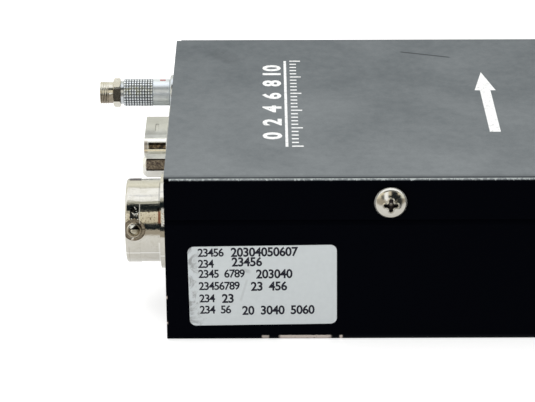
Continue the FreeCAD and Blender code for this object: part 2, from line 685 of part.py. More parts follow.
def spot_face(angle):
    """The flat round recess and the rivet hole of one bayonet stud."""
    out = radial(angle)
    flat = power_centre(STUD_X) + out * (POWER_RADIUS - STUD_SPOT_DEPTH)
    recess = rod(flat, out, 2 * STUD_SPOT_DEPTH, STUD_SPOT_RADIUS)
    hole_start = power_centre(STUD_X) + out * (POWER_BORE - POWER_WALL)
    return recess.fuse(rod(hole_start, out, 2 * POWER_WALL, STUD_SHANK_RADIUS))


def keyway(angle, width):
    """A groove along the inside of the barrel, from the lip to the insert."""
    out = radial(angle)
    side = out.cross(X_AXIS)
    corner = power_centre(-POWER_REACH) + out * (POWER_BORE - POWER_WALL) - side * (width / 2)
    depth = POWER_WALL + POWER_KEYWAY_DEPTH
    points = [corner, corner + side * width, corner + side * width + out * depth, corner + out * depth]
    face = Part.Face(Part.makePolygon(points + points[:1]))
    return face.extrude(X_AXIS * POWER_FLOOR_DEPTH)


def power_studs():
    """The three bayonet studs: dished heads on the spot faces, riveted through the wall."""
    studs = []
    for angle in stud_angles():
        out = radial(angle)
        seat = POWER_RADIUS - STUD_SPOT_DEPTH
        top = seat + STUD_HEAD_HEIGHT
        dish = top - STUD_DISH_DEPTH
        root = math.sqrt(POWER_BORE**2 - STUD_SHANK_RADIUS**2)
        profile = [(POWER_BORE, 0), (root, STUD_SHANK_RADIUS), (seat, STUD_SHANK_RADIUS)]
        profile += [(seat, STUD_HEAD_RADIUS), (top, STUD_HEAD_RADIUS), (top, STUD_DISH_RADIUS)]
        profile += [(dish, STUD_DISH_RADIUS), (dish, 0)]
        studs.append(turned(power_centre(STUD_X), out, profile))
    return Part.makeCompound(studs)


def power_contact_places():
    """The (y, z) places of the power contacts: one in the middle and a circle round it."""
    places = [(POWER_Y, POWER_Z)]
    for index in range(POWER_RING_COUNT):
        out = radial(360 / POWER_RING_COUNT * index) * POWER_CONTACT_CIRCLE
        places.append((POWER_Y + out.y, POWER_Z + out.z))
    return places


def power_insert():
    """The moulded insert that holds the power contacts."""
    head = POWER_BORE - PIN_GAP
    stem = POWER_SHANK_BORE - PIN_GAP
    end = POWER_SHANK_LENGTH - POWER_SHANK_WALL
    profile = [(POWER_FLOOR_X, 0), (POWER_FLOOR_X, head), (POWER_SEAT_X, head), (POWER_SEAT_X, stem)]
    profile += [(end, stem), (end, 0)]
    insert = turned(power_centre(0), X_AXIS, profile)
    for y, z in power_contact_places():
        start = Vector(POWER_FLOOR_X, y, z)
        insert = insert.cut(rod(start, X_AXIS, end - POWER_FLOOR_X, POWER_CONTACT_RADIUS + PIN_GAP))
    return insert


def power_contacts():
    """Round-nosed contacts with thin tails that reach the interface board."""
    front = POWER_FLOOR_X - POWER_CONTACT_PROUD
    body = POWER_SHANK_LENGTH - front
    length = PIN_END_X - front
    nose = POWER_CONTACT_RADIUS / 2
    tail = POWER_TAIL_RADIUS
    profile = [(0, 0), (0, nose), (nose, POWER_CONTACT_RADIUS), (body, POWER_CONTACT_RADIUS)]
    profile += [(body, tail), (length, tail), (length, 0)]
    contacts = [turned(Vector(front, y, z), X_AXIS, profile) for y, z in power_contact_places()]
    return Part.makeCompound(contacts)


def power_nut():
    """The thin hexagon nut that holds the receptacle behind the panel."""
    start = power_centre(PANEL_SHEET)
    chamfer = JACKSCREW_CHAMFER
    nut = chamfered_hexagon(start, X_AXIS, POWER_NUT_THICKNESS, POWER_NUT_FLATS, Z_AXIS, chamfer)
    return nut.cut(rod(start, X_AXIS, POWER_NUT_THICKNESS, POWER_SHANK_RADIUS + THREAD_GAP))


def power_gasket():
    """The flat gasket between the receptacle's flange and the panel."""
    start = power_centre(-POWER_GASKET_THICKNESS)
    return tube(start, X_AXIS, POWER_GASKET_THICKNESS, POWER_GASKET_RADIUS, POWER_SHANK_RADIUS + PIN_GAP)


def service_centre(x):
    """The point on the service connector's axis at a distance along X."""
    return Vector(x, SERVICE_Y, SERVICE_Z)


def service_socket():
    """The panel socket of the service connector: a rounded flange and a threaded shank."""
    flange = SERVICE_FLANGE_RADIUS
    front = -SERVICE_FLANGE_THICKNESS
    bore = PLUG_NOSE_RADIUS + RUNNING_GAP
    shank = SERVICE_SHANK_RADIUS
    end = SERVICE_SHANK_LENGTH
    profile = [(front, bore), (front, flange), (0, flange), (0, shank), (end, shank), (end, bore)]
    socket = turned(service_centre(0), X_AXIS, profile)
    rim = [e for e in socket.Edges if is_ring(e, front, flange)]
    return socket.makeFillet(SERVICE_FLANGE_ROUND, rim)


def service_socket_nut():
    """The slotted ring nut of the panel socket."""
    start = service_centre(PANEL_SHEET)
    bore = SERVICE_SHANK_RADIUS + THREAD_GAP
    nut = tube(start, X_AXIS, SERVICE_NUT_THICKNESS, SERVICE_NUT_RADIUS, bore)
    half = SERVICE_NUT_SLOT / 2
    x_range = (PANEL_SHEET + SERVICE_NUT_THICKNESS / 2, PANEL_SHEET + SERVICE_NUT_THICKNESS)
    z_range = (SERVICE_Z - SERVICE_NUT_RADIUS, SERVICE_Z + SERVICE_NUT_RADIUS)
    return nut.cut(block(x_range, (SERVICE_Y - half, SERVICE_Y + half), z_range))


def plug_contact_places():
    """The (y, z) places of the service contacts on their circle."""
    places = []
    for index in range(PLUG_CONTACT_COUNT):
        out = radial(360 / PLUG_CONTACT_COUNT * (index + 0.5)) * PLUG_CONTACT_CIRCLE
        places.append((SERVICE_Y + out.y, SERVICE_Z + out.z))
    return places


def service_insulator(x_start, length, radius):
    """A small insulator bored for the service contacts."""
    insulator = rod(service_centre(x_start), X_AXIS, length, radius)
    for y, z in plug_contact_places():
        hole = rod(Vector(x_start, y, z), X_AXIS, length, PLUG_CONTACT_RADIUS + PIN_GAP)
        insulator = insulator.cut(hole)
    return insulator


def service_insert():
    """The insulator at the back of the panel socket."""
    start = PLUG_NOSE_LENGTH + SEAT_GAP
    return service_insulator(start, SERVICE_INSERT_LENGTH, PLUG_NOSE_RADIUS + RUNNING_GAP - PIN_GAP)


def plug_insert():
    """The insulator in the plug's nose."""
    radius = PLUG_NOSE_RADIUS - PLUG_NOSE_WALL - PIN_GAP
    return service_insulator(PLUG_NOSE_LENGTH / 2, PLUG_NOSE_LENGTH / 2, radius)


def service_contacts():
    """The mated contacts, from the plug's nose through the socket to the interface board."""
    start = PLUG_NOSE_LENGTH / 2
    length = PIN_END_X - start
    pins = [rod(Vector(start, y, z), X_AXIS, length, PLUG_CONTACT_RADIUS) for y, z in plug_contact_places()]
    return Part.makeCompound(pins)


def plug_body():
    """The plug's inner body: nose in the socket, core under the sleeve, threaded tail."""
    face = -SERVICE_FLANGE_THICKNESS
    nose_bore = PLUG_NOSE_RADIUS - PLUG_NOSE_WALL
    tail_end = COLLET_X - PLUG_TAIL_LENGTH
    middle = PLUG_NOSE_LENGTH / 2
    profile = [(tail_end, PLUG_BORE_RADIUS), (tail_end, PLUG_TAIL_RADIUS), (COLLET_X, PLUG_TAIL_RADIUS)]
    profile += [(COLLET_X, PLUG_CORE_RADIUS), (face, PLUG_CORE_RADIUS), (face, PLUG_NOSE_RADIUS)]
    profile += [(PLUG_NOSE_LENGTH, PLUG_NOSE_RADIUS), (PLUG_NOSE_LENGTH, nose_bore)]
    profile += [(middle, nose_bore), (middle, PLUG_BORE_RADIUS)]
    return turned(service_centre(0), X_AXIS, profile)


def plug_sleeve():
    """The sliding release sleeve: smooth in front and square-knurled behind."""
    bore = PLUG_CORE_RADIUS + RUNNING_GAP
    profile = [(SLEEVE_FRONT_X, bore), (SLEEVE_FRONT_X, SLEEVE_FRONT_RADIUS)]
    profile += [(SLEEVE_SHOULDER_X, SLEEVE_FRONT_RADIUS)]
    root = KNURL_RADIUS - KNURL_DEPTH
    for column in range(KNURL_COLUMN_COUNT):
        start = SLEEVE_SHOULDER_X - column * KNURL_PITCH
        profile += [(start, root), (start - KNURL_DEPTH, KNURL_RADIUS)]
        profile += [(start - KNURL_PITCH + KNURL_DEPTH, KNURL_RADIUS)]
    profile += [(SLEEVE_BACK_X, root), (SLEEVE_BACK_X, bore)]
    return turned(service_centre(0), X_AXIS, profile)


def plug_collet_nut():
    """The collet nut that clamps the cable: hexagon, plain ring and ribbed end."""
    normal = radial(COLLET_HEX_TURN)
    start = service_centre(COLLET_RING_X)
    head = chamfered_hexagon(start, X_AXIS, COLLET_HEX_LENGTH, COLLET_FLATS, normal, COLLET_HEX_CHAMFER)
    profile = [(COLLET_RING_X, 0), (COLLET_RING_X, COLLET_RING_RADIUS), (COLLET_END_X, COLLET_RING_RADIUS)]
    root = COLLET_END_RADIUS - COLLET_RIB_DEPTH
    for rib in range(COLLET_RIB_COUNT):
        edge = COLLET_END_X - rib * COLLET_RIB_PITCH
        profile += [(edge, root), (edge - COLLET_RIB_DEPTH, COLLET_END_RADIUS)]
        profile += [(edge - COLLET_RIB_PITCH + COLLET_RIB_DEPTH, COLLET_END_RADIUS)]
    profile += [(PLUG_END_X, root), (PLUG_END_X, 0)]
    nut = fused([head, turned(service_centre(0), X_AXIS, profile)])
    nut = nut.cut(rod(service_centre(PLUG_END_X), X_AXIS, COLLET_X - PLUG_END_X, PLUG_BORE_RADIUS))
    thread_start = service_centre(COLLET_X - PLUG_TAIL_LENGTH - SEAT_GAP)
    return nut.cut(rod(thread_start, X_AXIS, PLUG_TAIL_LENGTH + SEAT_GAP, PLUG_TAIL_RADIUS + THREAD_GAP))


def rating_label():
    """The blank label stuck on the front wall, a little turned."""
    wall = -HALF_DEPTH
    x_range = (LABEL_LEFT, LABEL_LEFT + LABEL_WIDTH)
    z_range = (LABEL_BOTTOM, LABEL_BOTTOM + LABEL_HEIGHT)
    label = block(x_range, (wall - LABEL_THICKNESS, wall), z_range)
    label = label.makeFillet(LABEL_CORNER, edges_along(label, Y_AXIS, lambda c: True))
    centre = Vector(LABEL_LEFT + LABEL_WIDTH / 2, wall, LABEL_BOTTOM + LABEL_HEIGHT / 2)
    label.rotate(centre, Y_AXIS, -LABEL_TURN)
    return label


def cover_screws():
    """The two truss-head screws, one in each flange of the cover."""
    grip = SHEET + JOGGLE + COVER_NUT_HEIGHT
    start = Vector(COVER_SCREW_X, -HALF_DEPTH, COVER_SCREW_Z)
    return on_both_sides(cover_screw_shape(start, Y_AXIS * -1, grip))


def cover_nuts():
    """The press nuts inside the tray walls that take the cover screws."""
    start = Vector(COVER_SCREW_X, JOGGLE + SHEET - HALF_DEPTH, COVER_SCREW_Z)
    bore = COVER_SCREW_RADIUS + THREAD_GAP
    return on_both_sides(tube(start, Y_AXIS, COVER_NUT_HEIGHT, COVER_NUT_RADIUS, bore))


def panel_screws():
    """The flush screws that hold the panel's foot from below."""
    return on_both_sides(countersunk_screw(panel_screw_place(-1), Z_AXIS * -1, PANEL_SCREW_LENGTH))


def tray_screws():
    """The flush screws that hold the tray's walls to the tongue of the flow body."""
    return on_both_sides(countersunk_screw(tray_screw_place(-1), Y_AXIS * -1, TRAY_SCREW_LENGTH))


def flow_body():
    """The machined flow body: block, tongue inside the case, bores and tapped holes."""
    main = block((BODY_START, BODY_END), (-HALF_DEPTH, HALF_DEPTH), (0, COVER_HEIGHT))
    rim = [e for e in main.Edges if abs(e.CenterOfMass.x - BODY_END) < 1e-6]
    main = main.makeChamfer(BODY_CHAMFER, rim)
    right = [(LOWER_HALF, SHEET), (LOWER_HALF, LOWER_TOP), (UPPER_HALF, LOWER_TOP), (UPPER_HALF, INSIDE_TOP)]
    left = [(-y, z) for y, z in right[::-1]]
    body = fused([main, profile_along_x(right + left, TONGUE_START, BODY_START)])
    axis = Vector(BODY_AXIS_X, 0, MIDDLE_Z)
    body = body.cut(rod(axis - Y_AXIS * HALF_DEPTH, Y_AXIS, COVER_DEPTH, CHAMBER_RADIUS))
    for side in (-1, 1):
        body = body.cut(gland_port(side))
        port = Vector(TONGUE_START, side * SENSOR_PORT_SPACING / 2, MIDDLE_Z)
        body = body.cut(rod(port, X_AXIS, BODY_AXIS_X - TONGUE_START, SENSOR_PORT_RADIUS))
        seal_seat = rod(port, X_AXIS, SENSOR_SEAL_SECTION * 2, SENSOR_SEAL_RADIUS + SENSOR_SEAL_SECTION)
        body = body.cut(seal_seat)
        tapped = Vector(TONGUE_START, side * SENSOR_SCREW_SPACING / 2, MIDDLE_Z)
        body = body.cut(rod(tapped, X_AXIS, SENSOR_SCREW_LENGTH, M3_RADIUS + THREAD_GAP))
        wall = tray_screw_place(side)
        body = body.cut(rod(wall, Y_AXIS * -side, TRAY_SCREW_LENGTH + SHEET, M3_RADIUS + THREAD_GAP))
    for y in (-BODY_MOUNT_SPACING_Y / 2, BODY_MOUNT_SPACING_Y / 2):
        for z in (-BODY_MOUNT_SPACING_Z / 2, BODY_MOUNT_SPACING_Z / 2):
            hole = Vector(BODY_END, y, MIDDLE_Z + z)
            body = body.cut(rod(hole, X_AXIS * -1, BODY_MOUNT_DEPTH, BODY_MOUNT_RADIUS))
    return body


def gland_port(side):
    """The threaded port and the seal's counterbore at one end of the flow body."""
    face = Vector(BODY_AXIS_X, side * HALF_DEPTH, MIDDLE_Z)
    inward = Y_AXIS * -side
    thread = rod(face, inward, GLAND_SHANK_LENGTH + SEAT_GAP, GLAND_SHANK_RADIUS + THREAD_GAP)
    return thread.fuse(rod(face, inward, GLAND_SEAL_HEIGHT, GLAND_SEAL_RADIUS + PIN_GAP))


def gland(side):
    """A male face-seal gland: threaded shank, hexagon collar, neck, thread and sealing bead."""
    outward = Y_AXIS * side
    face = Vector(BODY_AXIS_X, side * HALF_DEPTH, MIDDLE_Z)
    collar = GLAND_COLLAR_LENGTH
    neck = collar + GLAND_NECK_LENGTH
    end = neck + GLAND_THREAD_LENGTH
    shy = GLAND_THREAD_CHAMFER
    profile = [(-GLAND_SHANK_LENGTH, 0), (-GLAND_SHANK_LENGTH, GLAND_SHANK_RADIUS)]
    profile += [(collar / 2, GLAND_SHANK_RADIUS), (collar / 2, GLAND_NECK_RADIUS)]
    profile += [(neck, GLAND_NECK_RADIUS), (neck + shy, GLAND_THREAD_RADIUS)]
    profile += [(end - shy, GLAND_THREAD_RADIUS), (end, GLAND_THREAD_RADIUS - shy), (end, 0)]
    flats = GLAND_COLLAR_FLATS
    hexed = chamfered_hexagon(face, outward, collar, flats, Z_AXIS, JACKSCREW_CHAMFER)
    bead = Part.makeTorus(GLAND_BEAD_CIRCLE, GLAND_BEAD_RADIUS, face + outward * end, outward)
    body = fused([turned(face, outward, profile), hexed, bead])
    whole = GLAND_SHANK_LENGTH + end + GLAND_BEAD_RADIUS
    return body.cut(rod(face - outward * GLAND_SHANK_LENGTH, outward, whole, GLAND_BORE_RADIUS))


def gland_seals():
    """The sealing rings under the collars of the two glands."""
    start = Vector(BODY_AXIS_X, -HALF_DEPTH, MIDDLE_Z)
    bore = GLAND_SHANK_RADIUS + THREAD_GAP
    return on_both_sides(tube(start, Y_AXIS, GLAND_SEAL_HEIGHT, GLAND_SEAL_RADIUS, bore))


def bypass_element():
    """The laminar flow element: a plug with thin slots along its rim."""
    start = Vector(BODY_AXIS_X, -BYPASS_LENGTH / 2, MIDDLE_Z)
    radius = CHAMBER_RADIUS - PIN_GAP
    element = rod(start, Y_AXIS, BYPASS_LENGTH, radius)
    half = BYPASS_SLOT_WIDTH / 2
    x_range = (BODY_AXIS_X - half, BODY_AXIS_X + half)
    y_range = (-BYPASS_LENGTH / 2, BYPASS_LENGTH / 2)
    z_range = (MIDDLE_Z + radius - BYPASS_SLOT_DEPTH, MIDDLE_Z + radius + half)
    for index in range(BYPASS_SLOT_COUNT):
        slot = block(x_range, y_range, z_range)
        slot.rotate(start, Y_AXIS, 360 / BYPASS_SLOT_COUNT * index)
        element = element.cut(slot)
    return element


def flow_screens():
    """The two filter screens that settle the gas before and after the bypass."""
    screen_y = -BYPASS_LENGTH / 2 - SCREEN_SPACING
    start = Vector(BODY_AXIS_X, screen_y, MIDDLE_Z)
    return on_both_sides(rod(start, Y_AXIS, SCREEN_THICKNESS, CHAMBER_RADIUS - PIN_GAP))


def sensor_block():
    """The sensor's base block, bored for the ends of its tube."""
    half_width = SENSOR_BLOCK_WIDTH / 2
    half_height = SENSOR_BLOCK_HEIGHT / 2
    z_range = (MIDDLE_Z - half_height, MIDDLE_Z + half_height)
    base = block((SENSOR_FACE_X, TONGUE_START), (-half_width, half_width), z_range)
    for side in (-1, 1):
        port = Vector(SENSOR_FACE_X, side * SENSOR_PORT_SPACING / 2, MIDDLE_Z)
        base = base.cut(rod(port, X_AXIS, SENSOR_BLOCK_LENGTH, SENSOR_TUBE_RADIUS + PIN_GAP))
        hole = Vector(SENSOR_FACE_X, side * SENSOR_SCREW_SPACING / 2, MIDDLE_Z)
        base = base.cut(rod(hole, X_AXIS, SENSOR_BLOCK_LENGTH, M3_RADIUS + THREAD_GAP))
    return base


def sensor_tube():
    """The U-shaped capillary: two legs, two bends and the heated run between them."""
    half = SENSOR_PORT_SPACING / 2
    far_x = SENSOR_FACE_X - SENSOR_TUBE_REACH
    bend = SENSOR_TUBE_BEND
    path = [Part.LineSegment(Vector(TONGUE_START, -half, MIDDLE_Z), Vector(far_x + bend, -half, MIDDLE_Z))]
    path.append(bend_arc(far_x + bend, bend - half, -1))
    path.append(Part.LineSegment(Vector(far_x, bend - half, MIDDLE_Z), Vector(far_x, half - bend, MIDDLE_Z)))
    path.append(bend_arc(far_x + bend, half - bend, 1))
    path.append(Part.LineSegment(Vector(far_x + bend, half, MIDDLE_Z), Vector(TONGUE_START, half, MIDDLE_Z)))
    wire = Part.Wire([piece.toShape() for piece in path])
    section = Part.Wire(Part.makeCircle(SENSOR_TUBE_RADIUS, Vector(TONGUE_START, -half, MIDDLE_Z), X_AXIS))
    return wire.makePipeShell([section], True, False)


def bend_arc(centre_x, centre_y, side):
    """A quarter bend of the capillary, on one side of the middle."""
    radius = SENSOR_TUBE_BEND
    slope = radius * math.sqrt(0.5)
    on_leg = Vector(centre_x, centre_y + side * radius, MIDDLE_Z)
    on_arc = Vector(centre_x - slope, centre_y + side * slope, MIDDLE_Z)
    on_run = Vector(centre_x - radius, centre_y, MIDDLE_Z)
    if side < 0:
        return Part.Arc(on_leg, on_arc, on_run)
    return Part.Arc(on_run, on_arc, on_leg)


def sensor_windings():
    """The two resistance windings on the heated run."""
    far_x = SENSOR_FACE_X - SENSOR_TUBE_REACH
    start_y = (-SENSOR_COIL_SPACING - SENSOR_COIL_LENGTH) / 2
    start = Vector(far_x, start_y, MIDDLE_Z)
    bore = SENSOR_TUBE_RADIUS + PIN_GAP
    return on_both_sides(tube(start, Y_AXIS, SENSOR_COIL_LENGTH, SENSOR_COIL_RADIUS, bore))


def sensor_cover():
    """The open-backed can over the sensor tube."""
    half_width = SENSOR_COVER_WIDTH / 2
    half_height = SENSOR_COVER_HEIGHT / 2
    front = SENSOR_FACE_X - SENSOR_COVER_LENGTH
    wall = SENSOR_COVER_WALL
    y_range = (-half_width, half_width)
    z_range = (MIDDLE_Z - half_height, MIDDLE_Z + half_height)
    can = block((front, SENSOR_FACE_X), y_range, z_range)
    inner_y = (wall - half_width, half_width - wall)
    inner_z = (MIDDLE_Z - half_height + wall, MIDDLE_Z + half_height - wall)
    return can.cut(block((front + wall, SENSOR_FACE_X), inner_y, inner_z))


def sensor_seals():
    """The rings that seal the sensor block to the flow body."""
    start = Vector(TONGUE_START, -SENSOR_PORT_SPACING / 2, MIDDLE_Z)
    outer = SENSOR_SEAL_RADIUS + SENSOR_SEAL_SECTION - PIN_GAP
    inner = SENSOR_SEAL_RADIUS - SENSOR_SEAL_SECTION
    return on_both_sides(tube(start, X_AXIS, SENSOR_SEAL_SECTION * 2, outer, inner))


def sensor_screws():
    """The cap screws that hold the sensor block."""
    start = Vector(SENSOR_FACE_X, -SENSOR_SCREW_SPACING / 2, MIDDLE_Z)
    return on_both_sides(cap_screw(start, X_AXIS * -1, SENSOR_SCREW_LENGTH))


def board_hole_places():
    """The (x, y) places of the main board's four fixing holes."""
    half = BOARD_WIDTH / 2 - BOARD_HOLE_INSET_Y
    near = BOARD_START + BOARD_HOLE_INSET_X
    far = BOARD_END - BOARD_HOLE_INSET_X
    return [(near, -half), (near, half), (far, -half), (far, half)]


def main_board():
    """The main circuit board above the tray floor."""
    half = BOARD_WIDTH / 2
    board = block((BOARD_START, BOARD_END), (-half, half), (BOARD_BOTTOM, BOARD_TOP))
    for x, y in board_hole_places():
        hole = rod(Vector(x, y, BOARD_BOTTOM), Z_AXIS, BOARD_THICKNESS, M3_RADIUS + THREAD_GAP)
        board = board.cut(hole)
    return board


def board_spacers():
    """The hexagonal spacers that carry the main board."""
    spacers = []
    for x, y in board_hole_places():
        start = Vector(x, y, SHEET)
        spacer = hexagon(start, Z_AXIS, BOARD_STANDOFF, SPACER_FLATS, X_AXIS)
        spacers.append(spacer.cut(rod(start, Z_AXIS, BOARD_STANDOFF, M3_RADIUS + THREAD_GAP)))
    return Part.makeCompound(spacers)


def board_screws():
    """The cap screws on the main board."""
    return Part.makeCompound(
        [cap_screw(Vector(x, y, BOARD_TOP), Z_AXIS, BOARD_SCREW_LENGTH) for x, y in board_hole_places()]
    )


def interface_board():
    """The upright board that takes the tails of every connector."""
    half = BOARD_WIDTH / 2
    x_end = INTERFACE_X + BOARD_THICKNESS
    board = block((INTERFACE_X, x_end), (-half, half), (BOARD_TOP, INSIDE_TOP - INTERFACE_TOP_GAP))
    tails = [(place, SIGNAL_PIN_RADIUS) for place in signal_pin_places()]
    tails += [(place, POWER_TAIL_RADIUS) for place in power_contact_places()]
    tails += [(place, PLUG_CONTACT_RADIUS) for place in plug_contact_places()]
    for (y, z), radius in tails:
        board = board.cut(rod(Vector(INTERFACE_X, y, z), X_AXIS, BOARD_THICKNESS, radius + PIN_GAP))
    return board


def board_header():
    """The right-angle header that joins the two boards."""
    x_start = INTERFACE_X + BOARD_THICKNESS
    half = HEADER_WIDTH / 2
    return block((x_start, x_start + HEADER_DEPTH), (-half, half), (BOARD_TOP, BOARD_TOP + HEADER_HEIGHT))


def board_components():
    """The larger components on the main board: capacitors, chips and a regulator."""
    parts = []
    cap_x = BOARD_START + 3 * CAPACITOR_RADIUS + BOARD_HOLE_INSET_X
    for row in range(2):
        centre = Vector(cap_x, POWER_Y + row * 3 * CAPACITOR_RADIUS, BOARD_TOP)
        parts.append(rod(centre, Z_AXIS, CAPACITOR_HEIGHT, CAPACITOR_RADIUS))
    for length, width, y in CHIPS:
        x_start = cap_x + 2 * CAPACITOR_RADIUS
        y_range = (y - width / 2, y + width / 2)
        parts.append(block((x_start, x_start + length), y_range, (BOARD_TOP, BOARD_TOP + CHIP_HEIGHT)))
    return Part.makeCompound(parts)


NODES = {
    "cover_upper": cover_upper,
    "tray_lower": tray_lower,
    "connector_panel": connector_panel,
    "rating_label": rating_label,
    "cover_screws": cover_screws,
    "cover_nuts": cover_nuts,
    "panel_screws": panel_screws,
    "tray_screws": tray_screws,
    "power_shell": power_shell,
    "power_studs": power_studs,
    "power_insert": power_insert,
    "power_contacts": power_contacts,
    "power_nut": power_nut,
    "power_gasket": power_gasket,
    "signal_shell_front": signal_shell_front,
    "signal_shell_rear": signal_shell_rear,
    "signal_insulator": signal_insulator,
    "signal_pins": signal_pins,
    "signal_jackscrew": signal_jackscrew,
    "signal_nut": signal_nut,
    "service_socket": service_socket,
    "service_socket_nut": service_socket_nut,
    "service_insert": service_insert,
    "service_contacts": service_contacts,
    "plug_body": plug_body,
    "plug_insert": plug_insert,
    "plug_sleeve": plug_sleeve,
    "plug_collet_nut": plug_collet_nut,
    "flow_body": flow_body,
    "inlet_gland": lambda: gland(-1),
    "outlet_gland": lambda: gland(1),
    "gland_seals": gland_seals,
    "bypass_element": bypass_element,
    "flow_screens": flow_screens,
    "sensor_block": sensor_block,
    "sensor_tube": sensor_tube,
    "sensor_windings": sensor_windings,
    "sensor_cover": sensor_cover,
    "sensor_seals": sensor_seals,
    "sensor_screws": sensor_screws,
    "main_board": main_board,
    "interface_board": interface_board,
    "board_header": board_header,
    "board_spacers": board_spacers,
    "board_screws": board_screws,
    "board_components": board_components,
}

to_origin = Vector(-(PLUG_END_X + BODY_END) / 2, 0, 0)
os.makedirs("parts", exist_ok=True)
for name, make in NODES.items():
    shape = make()
    shape.translate(to_origin)
    shape.exportStep("parts/" + name + ".step")
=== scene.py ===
import json
import math
from contextlib import contextmanager

import bmesh
import bpy
import numpy as np
from mathutils import Matrix, Vector


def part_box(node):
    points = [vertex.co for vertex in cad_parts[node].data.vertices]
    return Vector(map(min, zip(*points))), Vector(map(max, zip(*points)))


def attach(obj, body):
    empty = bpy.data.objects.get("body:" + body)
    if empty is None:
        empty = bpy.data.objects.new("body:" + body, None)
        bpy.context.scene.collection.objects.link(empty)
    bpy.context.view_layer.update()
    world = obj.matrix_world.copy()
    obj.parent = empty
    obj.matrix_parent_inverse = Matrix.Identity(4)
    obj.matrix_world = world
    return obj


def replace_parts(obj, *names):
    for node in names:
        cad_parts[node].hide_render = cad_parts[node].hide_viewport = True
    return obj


# The looks of a gas mass flow meter that lies on one broad side.
# Blender's own sizes are in metres. Values named in millimetres are turned into metres by MM.

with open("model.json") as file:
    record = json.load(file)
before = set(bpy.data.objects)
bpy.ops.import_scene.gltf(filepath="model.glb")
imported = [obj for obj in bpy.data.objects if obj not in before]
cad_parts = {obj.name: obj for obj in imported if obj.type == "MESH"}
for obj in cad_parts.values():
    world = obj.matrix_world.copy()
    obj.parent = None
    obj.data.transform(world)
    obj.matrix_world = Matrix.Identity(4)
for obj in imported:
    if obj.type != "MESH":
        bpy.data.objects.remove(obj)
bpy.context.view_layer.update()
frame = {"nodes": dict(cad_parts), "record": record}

MM = 0.001
HOUSING = "housing"
SLEEVE = "release_sleeve"
cover_low, cover_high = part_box("cover_upper")


def case(x, y, z):
    """A place in millimetres from the cover's near, upper corner at the connector end."""
    return Vector((cover_low.x + x * MM, cover_low.y + y * MM, cover_high.z + z * MM))


def size_of(node):
    """A node's lowest and highest corners in millimetres."""
    low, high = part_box(node)
    return np.array(low) / MM, np.array(high) / MM


def middle_of(node):
    """A node's middle in millimetres."""
    return sum(size_of(node)) / 2


# Camera, floor and light

FOCAL_PIXELS = 2088.0
PHOTO_WIDTH = 535
SENSOR = 36.0
CAMERA_PLACE = (20.879, -391.290, 185.322)
CAMERA_DOWN = 25.909
CAMERA_YAW = 0.113
CAMERA_ROLL = -0.133


def linked(name, data):
    """A new object in the scene."""
    made = bpy.data.objects.new(name, data)
    bpy.context.scene.collection.objects.link(made)
    return made


def make_camera():
    """The camera that the case's edges in the photograph fit."""
    data = bpy.data.cameras.new("photo_camera")
    data.sensor_width = SENSOR
    data.lens = FOCAL_PIXELS * SENSOR / PHOTO_WIDTH
    data.clip_start = 0.01
    data.clip_end = 20.0
    camera = linked("photo_camera", data)
    camera.location = case(*CAMERA_PLACE)
    tilt = Matrix.Rotation(math.radians(90 - CAMERA_DOWN), 3, "X")
    roll = Matrix.Rotation(math.radians(CAMERA_ROLL), 3, "Z")
    yaw = Matrix.Rotation(math.radians(-CAMERA_YAW), 3, "Z")
    camera.rotation_euler = (yaw @ tilt @ roll).to_euler()
    bpy.context.scene.camera = camera


def make_lamp(name, offset, size, watts, colour):
    """A square soft lamp that points at the meter's middle; only the room shows in the metal."""
    target = case(40, 40, -19)
    data = bpy.data.lights.new(name, "AREA")
    data.size = size
    data.energy = watts
    data.color = colour
    lamp = linked(name, data)
    lamp.location = target + Vector(offset)
    lamp.rotation_euler = (target - lamp.location).to_track_quat("-Z", "Y").to_euler()
    lamp.visible_glossy = False


def arithmetic(operation, swapped=False):
    """A method of Value that adds a Math node; swapped puts the value second."""

    def method(value, other):
        return value.shader.math(operation, *((other, value) if swapped else (value, other)))

    return method


class Value:
    """A socket of a shader; arithmetic on it adds Math nodes."""

    def __init__(self, shader, socket):
        self.shader = shader
        self.socket = socket

    __add__ = arithmetic("ADD")
    __radd__ = arithmetic("ADD", True)
    __sub__ = arithmetic("SUBTRACT")
    __rsub__ = arithmetic("SUBTRACT", True)
    __mul__ = arithmetic("MULTIPLY")
    __rmul__ = arithmetic("MULTIPLY", True)
    __truediv__ = arithmetic("DIVIDE")


